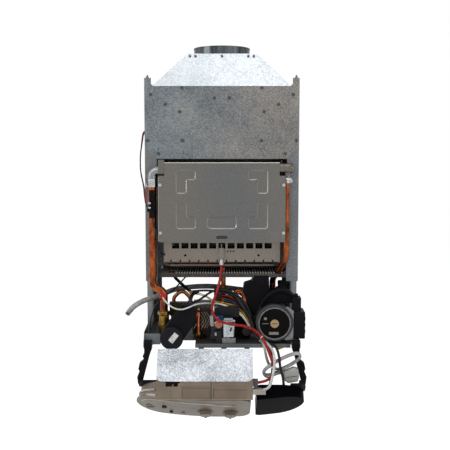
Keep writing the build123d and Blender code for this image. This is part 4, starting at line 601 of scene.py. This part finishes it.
# Pump: a black-lacquered cast housing with a bare ring round its front and a black foil disc on it.
# The disc has three plain pale marks round the tan brass vent screw. The casting behind shows bare metal.
pump_cast = metal("lacquered_cast_iron", "#141415", "#262628", 0.5, 2.2, metallic=0.2, bump=0.35)
dress(pump_cast, "pump_motor")
pump_x, pump_z = 131, -564
bare_ring = metal("bare_turned_cast_ring", "#3C3D3E", "#86888A", 0.36, 2.0, bump=0.15)
grey_shoulder = metal("grey_cast_shoulder", "#1C1D1E", "#404244", 0.5, 2.0, metallic=0.4, bump=0.25)
black_foil = moulding("black_printed_foil", "#0E0D0B", "#080706", 0.55, sheen=0.05)
for name, material, profile in (
    ("pump_front_ring", bare_ring, [(37.2, -0.6), (38.4, -1.4), (40.6, -1.2), (41.6, 0.6), (41.6, 12)]),
    ("pump_ring_shoulder", grey_shoulder, [(41, 1.6), (44.6, 1.8), (46.3, 3.4), (47, 6), (47, 12)]),
    ("pump_blank_foil", black_foil, [(37.2, -1.8), (37.4, -1.6), (37.4, -0.6)]),
):
    turned(name, profile, facing(pump_x, -300, pump_z), material, sides=56)
pale_print = moulding("pale_print_on_foil", "#A9A199", "#7F7973", 0.5, sheen=0.1)
for name, u, v, width, height in (
    ("pump_mark_left", -23, 12.6, 7, 6.2),
    ("pump_mark_line", -23, 0, 15, 1.4),
    ("pump_mark_low", -2, -24.5, 24, 7),
):
    block(name, (width, height, 0.4), facing(pump_x + u, -302.1, pump_z + v), pale_print, edge=0.1)
vent_brass = metal("dull_tan_brass", "#7B6447", "#B39B77", 0.4, 1.4, metallic=0.8)
dress(vent_brass, "pump_vent_screw")
plate(
    "pump_neck_casting",
    rounded([(-12, -42), (10, -42), (12, 30), (-4, 42), (-14, 36)], 4),
    14,
    facing(168.5, -290.5, -566),
    metal("rough_grey_casting", "#5A5C5E", "#97999B", 0.5, 1.6, metallic=0.7, bump=0.3),
)

# Return group: glass-filled black nylon, moulded and screwed to the pump.
# The pump's terminal box and the air vent's cap are moulded from the same nylon.
# The neck rises behind the pump to the vent, and the pump's cable lies in an arch over the crown.
neck_corners = [
    (66, -560), (98, -560), (112, -517), (123, -500), (121, -456),
    (83, -456), (77, -472), (57, -478), (54, -503), (62, -522),
]
crown_corners = [
    (101, -520), (187, -520), (190, -506), (172, -488),
    (149, -483), (121, -494), (101, -512),
]
dress(black_nylon, "return_group", "pump_terminal_box", "air_vent_cap")
neck_place, crown_place = facing(0, -224, 0), facing(0, -262, 0)
plate("return_group_neck", rounded(neck_corners, 4), 40, neck_place, black_nylon, edge=2)
plate("return_group_crown", crown_corners, 20, crown_place, black_nylon, edge=1)


def smooth_curve(name, points, steps):
    """Curve that its control points pull, with a number of steps to each."""
    curve = bpy.data.curves.new(name, "CURVE")
    curve.dimensions = "3D"
    spline = curve.splines.new("NURBS")
    spline.points.add(len(points) - 1)
    for point, place in zip(spline.points, points):
        point.co = (*(step / 1000 for step in place), 1.0)
    spline.order_u = 3
    spline.use_endpoint_u = True
    spline.resolution_u = steps
    return curve


def spline_line(points):
    """Points along the smooth line that a route's control points pull."""
    holder = bpy.data.objects.new("line", smooth_curve("line", points, 8))
    mesh = bpy.data.meshes.new_from_object(holder)
    line = [vertex.co.copy() for vertex in mesh.vertices]
    bpy.data.objects.remove(holder)
    bpy.data.meshes.remove(mesh)
    return [line[0]] + [b for a, b in zip(line, line[1:]) if (b - a).length > 0.0002]


def tube_shape(line, radius, sides, bore=0.0):
    """Corners and faces of a tube round a line. With a bore, its last end is open, three radii deep."""
    ahead = [(b - a).normalized() for a, b in zip(line, line[1:])]
    along = [ahead[0]] + [(a + b).normalized() for a, b in zip(ahead, ahead[1:])] + [ahead[-1]]
    side = along[0].orthogonal().normalized()
    rings = []
    for place, direction in zip(line, along):
        side = (side - direction * side.dot(direction)).normalized()
        rings.append((place, side.copy(), direction.cross(side), radius))
    if bore:
        for place in (line[-1], line[-1] - along[-1] * radius * 3):
            rings.append((place, side, along[-1].cross(side), bore))
    angles = [2 * pi * k / sides for k in range(sides)]
    verts = [place + u * r * cos(a) + v * r * sin(a) for place, u, v, r in rings for a in angles]
    faces = [tuple(reversed(range(sides)))]
    for i in range(len(rings) - 1):
        for k in range(sides):
            n = (k + 1) % sides
            faces.append((i * sides + k, i * sides + n, (i + 1) * sides + n, (i + 1) * sides + k))
    last = (len(rings) - 1) * sides
    faces.append(tuple(range(last, last + sides)))
    return verts, faces


def tube_mesh(name, line, radius, material, body=None, sides=16, bore=0.0):
    """Tube round a line, with its radius and bore in millimetres."""
    return new_piece(name, *tube_shape(line, radius / 1000, sides, bore / 1000), material, body)


pump_cable = spline_line([
    (98, -262, -528), (112, -268, -500), (145, -271, -483), (172, -268, -493), (189, -262, -512),
])
tube_mesh("pump_feed_cable", pump_cable, 4.2, black_nylon, "chassis", sides=12)

# Gas valve: a die-cast aluminium body painted dark as painted shade, with blue polyamide coil mouldings on
# its front.
# A zinc-plated bracket is screwed before them, and moulded plugs and a sealed copper-plated cap sit on it.
shaded_casting = metal("die_cast_aluminium_painted_shade", "#141516", "#383B3D", 0.5, 3.0, metallic=0.7, bump=0.25)
dress(shaded_casting, "gas_valve_body")
coil_blue = moulding("blue_polyamide_coil", "#1B5288", "#123A5E", 0.4)
dress(coil_blue, "gas_valve_coils")
white_housing = moulding("white_polyamide_connector", "#C9CACA", "#9A9B9C", 0.45)
black_housing = moulding("black_polyamide_connector", "#17181C", "#0D0E10", 0.4)
valve_zinc = spangled("bright_zinc_bracket", "#7E868B", "#D2D8DC", 2.2, 0.34)
for name, size, x, y, z, turn, corner, material in (
    ("valve_white_connector", (8.5, 26, 10), -25.5, -274, -564, 6.0, 1, white_housing),
    ("valve_coil_lug", (6, 10, 8), -16.5, -275.5, -572, 12.0, 1, white_housing),
    # The bracket's slot and the strip under its top are black, painted shade.
    ("valve_bracket_slot", (4.2, 12, 0.4), 22.5, -284.2, -583, -18.0, 2, soot_and_shade_black),
    ("valve_bracket_shadow", (28, 3.5, 0.4), 18, -284.2, -565.5, 0, 0, soot_and_shade_black),
    ("valve_plug_housing", (15.5, 36, 6), -8.5, -286.8, -603.5, 0, 1.5, black_housing),
    ("valve_plug_key", (5, 8, 2), -15.5, -288.2, -594, 0, 1, white_housing),
    ("valve_foot", (35, 18, 2), 17.5, -283.8, -614, 0, 1, front_zinc),
):
    block(name, size, facing(x, y, z, turn), material, corner=corner)
strip_place = facing(16, -284.6, -556.5)
block("valve_white_strip", (22, 4.6, 1.2), strip_place, white_housing, edge=0.3)
regulator_place = facing(-8, -288.5, -569)
turned(
    "valve_regulator_cap",
    [(3.5, -1.2), (4.2, 0), (9, 0), (10.6, 1.4), (10.8, 4), (10.8, 18)],
    regulator_place,
    metal("copper_plated_cap", "#6E3D2A", "#B9765A", 0.34, 3.0, stain="#8C6A5E", stain_mm=8.0),
)
turned(
    "valve_regulator_seal",
    [(3.4, -2.6), (4.5, -2), (4.5, -0.8)],
    regulator_place,
    moulding("pink_sealing_lacquer", "#C98A7A", "#A86C5E", 0.5),
    sides=24,
)
bracket_corners = [(4, -603.5), (29.5, -602), (30, -590), (33.5, -559), (3.5, -558.5)]
modulator_corners = [
    (-20, -557.5), (44, -557.5), (44, -534), (30, -529), (-6, -529), (-20, -536)
]
rear_corners = [
    (-21, -548), (50, -548), (40, -531), (21, -519), (0, -512), (-21, -506)
]
# The side block is a black plate that stands partly for shade and partly for dark parts beside the valve.
side_corners = [(28, -618), (74, -618), (70, -570), (58, -540), (28, -535)]
for name, outline, y, depth, edge, material in (
    ("valve_bracket", rounded(bracket_corners, 1.2), -283.8, 1.2, 0.5, valve_zinc),
    ("valve_modulator_block", rounded(modulator_corners, 2), -256, 30, 0.5, black_housing),
    ("valve_rear_body", rear_corners, -185, 20, 1, shaded_casting),
    ("valve_side_shade_block", side_corners, -215, 20, 1, black_nylon),
):
    plate(name, outline, depth, facing(0, y, 0), material, edge=edge)

# Relief valve's cap: dark red-brown ABS, moulded with a matt skin.
# A quarter turn by hand lets the valve blow off.
dark_cap = moulding("dark_abs_cap", "#2A1A1A", "#1C1112", 0.4)
dress(dark_cap, "safety_valve_cap")

# Control box and panel front: grey-beige ABS, moulded, with a fine spark-eroded skin that handling has shone.
# Ribs, ledges and cast-in panels stand on the box's front wall. Its lid is folded from galvanised sheet.
beige_abs = moulding("grey_beige_abs", "#8D7F6F", "#7B6C5D", 0.46, texture_mm=0.8, sheen=0.35)
dress(beige_abs, "control_box")
# Painted shade: the panel front is a darker beige because it faces down.
face_shade_abs = moulding("beige_abs_face_painted_shade", "#84776B", "#6F6357", 0.44, texture_mm=0.8, sheen=0.35)
dress(face_shade_abs, "panel_face")
lid_zinc = spangled("speckled_galvanised_lid", "#7C818A", "#DCDFE5", 2.6, 0.4, contrast=1.3, metallic=0.6)
dress(lid_zinc, "box_lid")
# Painted shade: the cast-in panels are a darker beige for the shade in their recesses.
shaded_abs = moulding("shaded_beige_abs", "#8A786A", "#776657", 0.5, texture_mm=0.8, sheen=0.3)
# Painted highlight: the ribs and the ledge are a paler beige where the light catches them.
rib_highlight_abs = moulding("beige_abs_painted_highlight", "#A89C8E", "#8D8173", 0.45, texture_mm=0.8, sheen=0.35)
for name, x0, x1, z0, z1, material in (
    ("wall_panel_left", -95, -30, -733, -708, shaded_abs),
    ("wall_panel_right", -19, 60, -733, -712, shaded_abs),
    ("wall_rib", -119, -117.2, -734, -696, rib_highlight_abs),
    ("wall_rib_middle", -24.5, -23.2, -735, -696, rib_highlight_abs),
    ("wall_ledge", -156, 73.5, -736.2, -734.2, rib_highlight_abs),
):
    outline = [(x0, z0), (x1, z0), (x1, z1), (x0, z1)]
    plate(name, outline, 0.8, facing(0, -369.8, 0), material, "panel", edge=0.3)
socket_abs = moulding("blue_grey_socket", "#5C5F6B", "#464852", 0.45)
gland_abs = moulding("pale_lead_gland", "#BDB7AE", "#958D82", 0.45)
groove_place, socket_place = facing(-26.2, -370, -714.5), facing(82, -367, -697)
# The groove is a black strip of painted shade.
block("wall_groove", (1.3, 42, 0.6), groove_place, black_nylon, "panel", edge=0.2)
block("wall_socket", (10.5, 21.5, 8), socket_place, socket_abs, "panel", corner=1)
block("lead_gland", (31, 13, 3), facing(90.5, -371.2, -716.5), gland_abs, "panel", corner=1)
# The gauge line's opening is a black plate, painted shade in the hole.
half_ellipse = [(19.5 * cos(pi + pi * k / 16), 7.5 * sin(pi + pi * k / 16)) for k in range(17)]
opening_place = facing(-119.5, -370.2, -690)
plate("gauge_line_opening", half_ellipse, 0.6, opening_place, black_nylon, "panel", edge=0.2)
# Painted highlight: the face's stepped rims are pale ridges, lit on their upward faces.
face_ridge_highlight_abs = moulding("beige_ridge_painted_highlight", "#CFCAC3", "#A59C92", 0.4, texture_mm=0.8, sheen=0.35)
for name, radius, points in (
    ("face_ridge_rear", 3, [
        (-198.5, -324.5, -729), (-193.1, -330.2, -724.6), (-178.7, -341.4, -720.1), (-163.9, -346.9, -717.4),
    ]),
    ("face_ridge_middle", 2.8, [
        (-203, -332.5, -740.1), (-196.5, -334.5, -734.6), (-177.5, -354.4, -727.2), (-160, -363, -726),
    ]),
    ("face_ridge_front", 2.3, [
        (-198.1, -322.4, -751.8), (-184.7, -342.4, -740.2), (-155, -347.5, -742.5), (-120, -349.8, -745.9),
        (-78.2, -351.1, -749.6), (-33.5, -350.5, -752.8), (7.1, -341.6, -759.9), (34.8, -337.3, -762.3),
    ]),
):
    tube_mesh(name, spline_line(points), radius, face_ridge_highlight_abs, "panel", sides=8)
board_laminate = metal("green_circuit_laminate", "#12391F", "#1E5A32", 0.35, 6.0, metallic=0.0, bump=0.05)
dress(board_laminate, "circuit_board")

# Panel wing and arms: gloss black ABS, moulded against a polished tool, and arms in black nylon.
# The wing is smooth enough to mirror the room, so its texture is wide and very shallow.
gloss_abs = moulding(
    "polished_black_abs", "#0C0C10", "#08080A", 0.35, texture_mm=3.0, bump=0.02, sheen=0.004
)
dress(gloss_abs, "panel_wing")
dress(black_nylon, "panel_arms")

# Controls: knobs and a gauge moulded in the grey-beige ABS of the control box.
# The pointer and the press buttons are moulded in black nylon.
dress(beige_abs, "pressure_gauge", "heating_knob", "water_knob")
dress(black_nylon, "gauge_pointer", "reset_button", "mode_button")

# Cabinet wiring: separate PVC wires, tied in a bundle over the gas valve and drawn into a black sleeve.
# A thin copper pipe loops up between them.
def wire(name, points, radius, material):
    """Thin fixed wire, sleeve or pipe on a smooth line."""
    return tube_mesh(name, spline_line(points), radius, material, "chassis", sides=8)


white_pvc = pvc("white_pvc_cable", "#E6E5E1", "#C9C8C4", roughness=0.4)
black_pvc = pvc("black_pvc_sleeve", "#131315", "#0A0A0B", roughness=0.38)
red_silicone = pvc("red_silicone_sheath", "#B3201C", "#7E1513", roughness=0.36)
yellow_pvc = pvc("yellow_pvc_wire", "#D9A21C", "#B8860F")
brown_pvc = pvc("brown_pvc_wire", "#6A3A22", "#4A2616")
blue_pvc = pvc("blue_pvc_wire", "#2C5C92", "#1D4068")
navy_sleeve = pvc("navy_woven_sleeve", "#15161C", "#0C0D11")
for name, radius, material, points in (
    ("loom_yellow", 1.2, yellow_pvc, [
        (-84, -246, -494), (-61, -244, -496), (-41, -243, -504), (-20, -243, -518), (0, -243, -522),
        (26, -243, -527), (46, -243, -539), (62, -245, -557), (73, -252, -579),
    ]),
    ("loom_yellow_low", 1.1, yellow_pvc, [
        (-84, -250, -499), (-61, -249, -499), (-40, -248, -507), (-20, -248, -520), (0, -248, -524),
        (23, -248, -530), (44, -248, -543), (59, -249, -558), (71, -255, -580),
    ]),
    ("loom_white", 1.1, white_pvc, [
        (-79, -244, -497), (-53, -247, -501), (-33, -250, -510), (-12, -251, -523), (10, -251, -528),
        (33, -250, -537), (51, -250, -550), (66, -253, -571), (74, -257, -585),
    ]),
    ("loom_valve_white", 1.9, white_pvc, [
        (-149, -262, -506), (-146, -282, -505), (-138, -297, -511), (-126, -303, -521), (-112, -305, -527),
        (-98, -305, -528), (-82, -303, -523), (-68, -298, -517), (-53, -288, -516), (-38, -272, -518),
        (-24, -258, -522), (-7, -254, -523), (15, -253, -530), (41, -251, -546), (59, -252, -563),
        (68, -256, -580),
    ]),
    ("loom_red", 1.2, red_silicone, [
        (-20, -238, -509), (0, -238, -503), (23, -237, -509), (41, -237, -523), (57, -240, -541),
        (72, -246, -564),
    ]),
    ("loom_brown", 1.2, brown_pvc, [
        (-25, -240, -516), (-5, -240, -510), (21, -239, -515), (39, -239, -528), (54, -242, -544),
        (69, -248, -566),
    ]),
    ("loom_black", 3, black_pvc, [
        (-81, -262, -521), (-61, -258, -516), (-40, -252, -501), (-23, -244, -492), (0, -238, -488),
        (28, -234, -497), (52, -234, -515), (69, -238, -540), (79, -246, -567),
    ]),
    ("loom_black_high", 2.8, black_pvc, [
        (-84, -244, -494), (-61, -240, -492), (-33, -236, -492), (-2, -233, -496), (26, -231, -505),
        (49, -232, -523), (67, -238, -545), (77, -248, -572),
    ]),
    ("loom_blue", 1.1, blue_pvc, [
        (0, -236, -517), (26, -235, -523), (44, -236, -533), (59, -240, -547), (69, -246, -564),
        (77, -252, -584),
    ]),
    ("loom_gathered_sleeve", 8.5, navy_sleeve, [
        (38, -234, -512), (52, -236, -532), (64, -238, -558), (70, -243, -582), (79, -250, -600),
    ]),
    ("earth_wire_bight", 1.7, yellow_pvc, [
        (124, -288, -622), (132, -292, -625), (138, -292.5, -626.5), (146, -292, -630), (153, -288, -628),
    ]),
    ("loom_blue_high", 1, blue_pvc, [
        (5, -234, -515), (28, -233, -519), (49, -234, -532), (64, -240, -550), (74, -248, -572),
    ]),
    ("side_wire_thin", 1.9, black_pvc, [
        (-95, -190, -465), (-109, -200, -479), (-124, -214, -494), (-138, -232, -502), (-150, -248, -507),
        (-161, -254, -517), (-172, -254, -533), (-179, -252, -555), (-183, -250, -575), (-184, -245, -592),
    ]),
    ("side_wire_thick", 4.5, black_pvc, [
        (-126, -150, -472), (-111, -158, -485), (-94, -180, -496), (-81, -215, -499), (-74, -240, -502),
    ]),
    ("motor_sleeve", 4.6, black_pvc, [
        (-79, -283, -519.1), (-79, -281.5, -508), (-76, -268, -500), (-72, -252, -496), (-60, -244, -494),
    ]),
    ("water_pipe_loop", 5, pipe_copper, [
        (29, -226, -515), (32, -227, -501), (42, -229, -491), (52, -230, -500), (58, -230, -518),
        (62, -230, -536), (72, -228, -556),
    ]),
):
    wire(name, points, radius, material)
loom_sleeve = wire("wiring_loom_sleeve", [
    (-20, -228, -489), (11, -228, -493), (29, -229, -503), (40, -231, -515), (52, -236, -534),
    (64, -241, -548), (73, -247, -565), (80, -260, -586), (85, -269, -603), (98, -280, -609.5),
], 5.2, black_pvc)
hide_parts("wiring_loom")

# Thermostat and burner leads: a thin red and black pair from the left side's grommet, in PVC and silicone.
# It ends in bright spade terminals, pushed on the overheat thermostat. A black sleeve goes on to the burner.
for name, radius, material, points in (
    ("thermostat_wire_red", 1.4, red_silicone, [
        (-188, -206, -83.9), (-200, -207, -85.5), (-203, -212, -105), (-206, -217, -141), (-208, -222, -177),
        (-202, -231, -205), (-194, -246, -233), (-190, -257, -253), (-185.5, -264, -265),
        (-178.7, -265, -266.5),
    ]),
    ("thermostat_wire_black", 1.7, black_pvc, [
        (-188, -206, -87.1), (-199, -208, -88.5), (-202, -216, -113), (-207, -223, -149), (-206, -229, -191),
        (-197, -243, -223), (-194, -252, -251), (-190, -260, -271), (-185.5, -264.5, -277.5),
        (-178.7, -265, -278.5),
    ]),
    ("burner_lead", 2, black_pvc, [
        (-174, -253.5, -305.6), (-172, -256, -320), (-165, -259, -341), (-164, -255, -358),
        (-163, -248, -375), (-154, -240, -395), (-146.5, -223.3, -402),
    ]),
):
    wire(name, points, radius, material)
for name, z in (("thermostat_terminal_upper", -267), ("thermostat_terminal_lower", -278)):
    tab_place = facing(-180.5, -270.5, z, -12.0)
    block(name, (6.5, 4.2, 6), tab_place, clip_steel, corner=0.8)

# Drain hose of the pressure relief: clear PVC tube, 14 mm over a 9.2 mm bore, slipped on its spigot.
# It crosses the cabinet above the hydraulics and comes out past the left side, cut square and open.
clear_pvc = pvc("clear_pvc_tube", "#B4B4B2", "#8F908E", roughness=0.3)
hose_line = spline_line([
    (80, -112, -513), (58, -112, -513), (30, -107, -510), (-4, -104, -506), (-42, -104, -504),
    (-84, -112, -504.5), (-124, -136, -506), (-152, -172, -511), (-174, -201, -516), (-204, -213, -523),
    (-226, -214.5, -536), (-239, -216.5, -549), (-242.5, -227, -554.5),
])
drain_hose = tube_mesh("drain_hose_tube", hose_line, 7, clear_pvc, "chassis", sides=24, bore=4.6)
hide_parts("drain_hose")


def panel_lead(name, radius, material, points):
    """Free lead from the chassis into the panel: a tube on no body, with its transform baked in."""
    line = spline_line(points)
    lead = tube_mesh(name, line, radius, material, sides=14)
    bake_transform(lead)
    return lead


red_lead = panel_lead("ignition_lead_sheath", 3.4, red_silicone, [
    (-1, -229, -427), (-1, -229, -439), (-5, -238, -465), (-13, -252, -495), (-25, -270, -521),
    (-24, -287, -543), (-4, -299, -560), (26, -303, -566), (60, -306, -569), (87, -311, -581),
    (104, -317, -602), (113, -326, -623), (121, -337, -643), (129, -340, -666), (123, -345, -685),
    (107, -351.5, -696), (83.6, -355.5, -697.8),
])
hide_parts("ignition_lead")

# Panel leads: white and grey PVC cables and a black sleeve with two cores, extruded, 6.4 mm thick.
# They leave the cabinet over the bottom plate's lip and bend down into the control box and the wing.
# Two white ties hold them together.
grey_pvc = pvc("light_grey_pvc_cable", "#BDBDBA", "#8B8C8B", roughness=0.4, grime_mm=14.0)
white_lead = panel_lead("white_panel_lead", 3.2, white_pvc, [
    (99.2, -280.9, -606), (103.4, -284.5, -608.1), (110, -296, -611.5), (121, -311, -621),
    (127.5, -329, -632), (129, -344, -649), (125.5, -352, -671), (120, -358, -695), (113, -362, -711.5),
    (97.7, -362.7, -714.1),
])
black_lead = panel_lead("black_panel_lead", 3.2, black_pvc, [
    (101, -276.5, -611.3), (106, -279.5, -613.4), (118, -292, -614), (131, -304, -618), (138, -319, -628),
    (141, -334, -643), (142, -340, -661), (147, -340, -679), (151, -337.5, -698), (152, -338.8, -720),
    (152.4, -340.8, -741.3),
])
grey_lead = panel_lead("grey_mains_lead", 3.2, grey_pvc, [
    (95.4, -282.3, -611.3), (99.6, -285.8, -613.4), (104, -299, -615.5), (106, -311, -627),
    (109.8, -310.5, -644.4),
])
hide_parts("panel_leads")
core_line = spline_line([
    (100, -276, -608), (108, -286, -611), (117, -304, -618), (122, -320, -633), (124.5, -327, -656),
    (124, -333, -678), (120, -339, -698), (113, -345, -718), (108, -352, -733),
])
upper_tie = [Vector(spot) / 1000 for spot in ((97.4, -314.3, -593.7), (98.6, -314.7, -595.3))]
lower_tie = [Vector(spot) / 1000 for spot in ((125, -340, -662), (125, -341, -666))]
for name, line, radius, material, sides in (
    ("black_lead_second_core", core_line, 3.4, black_pvc, 14),
    ("lead_tie_upper", upper_tie, 4.6, white_pvc, 12),
    ("lead_tie_lower", lower_tie, 7.8, white_pvc, 12),
):
    bent = tube_mesh(name, line, radius, material, sides=sides)
    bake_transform(bent)

# Mains hank: two loops of light grey PVC cable, 7 mm thick, folded up and tied beside the control box.
# The cable's end goes into a connector behind the loops, moulded in two halves of light plastic.
hank_rise = radians(28.0)
hank_turns, hank_pitch = 2, 7.8
half_long, half_wide = 50, 12.5


def hank_point(along, aside, turns):
    """Point of the hank from its own long and short directions and the turns wound."""
    x = 148 + along * cos(hank_rise) - aside * sin(hank_rise)
    z = -660.8 + along * sin(hank_rise) + aside * cos(hank_rise)
    return (x, -313.7 - hank_pitch * turns, z)


hank_route = [(110, -310.5, -645), hank_point(11.5 - half_long, -half_wide, -0.2)]
for corner in range(1, 4 * hank_turns + 1):
    along = half_long if corner % 4 in (1, 2) else -half_long
    aside = half_wide if corner % 4 in (2, 3) else -half_wide
    hank_route.append(hank_point(along, aside, corner / 4))
hank_route += [hank_point(-13, -half_wide, hank_turns + 0.15), (156.2, -328, -682.5)]
hank_curve = smooth_curve("mains_hank_cable", hank_route, 12)
hank_curve.bevel_depth = 0.0035
hank_curve.bevel_resolution = 5
hank_curve.use_fill_caps = True
hank_curve.materials.append(grey_pvc)
mains_hank = bpy.data.objects.new("mains_hank_cable", hank_curve)
scene.collection.objects.link(mains_hank)
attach(mains_hank, "panel")
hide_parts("mains_hank")
light_abs = moulding("light_grey_abs", "#B9B7B2", "#9C9A95", 0.4)
seam_abs = moulding("grey_connector_seam", "#6E6F70", "#4C4D4E", 0.5)
connector_corners = [
    (152, -698), (163, -706), (186, -702), (190, -692),
    (188, -671), (176, -668), (150, -680),
]
connector_outline, connector_place = rounded(connector_corners, 2.5), facing(0, -334.5, 0)
connector_body = plate(
    "mains_connector_body", connector_outline, 19, connector_place, light_abs, "panel", edge=2.2
)
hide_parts("mains_connector")
seam_corners = [(156, -692.5), (189, -687.5), (189, -685.5), (156, -690.5)]
seam_place = facing(0, -335, 0)
plate("mains_connector_seam", seam_corners, 2, seam_place, seam_abs, "panel", edge=0.3)
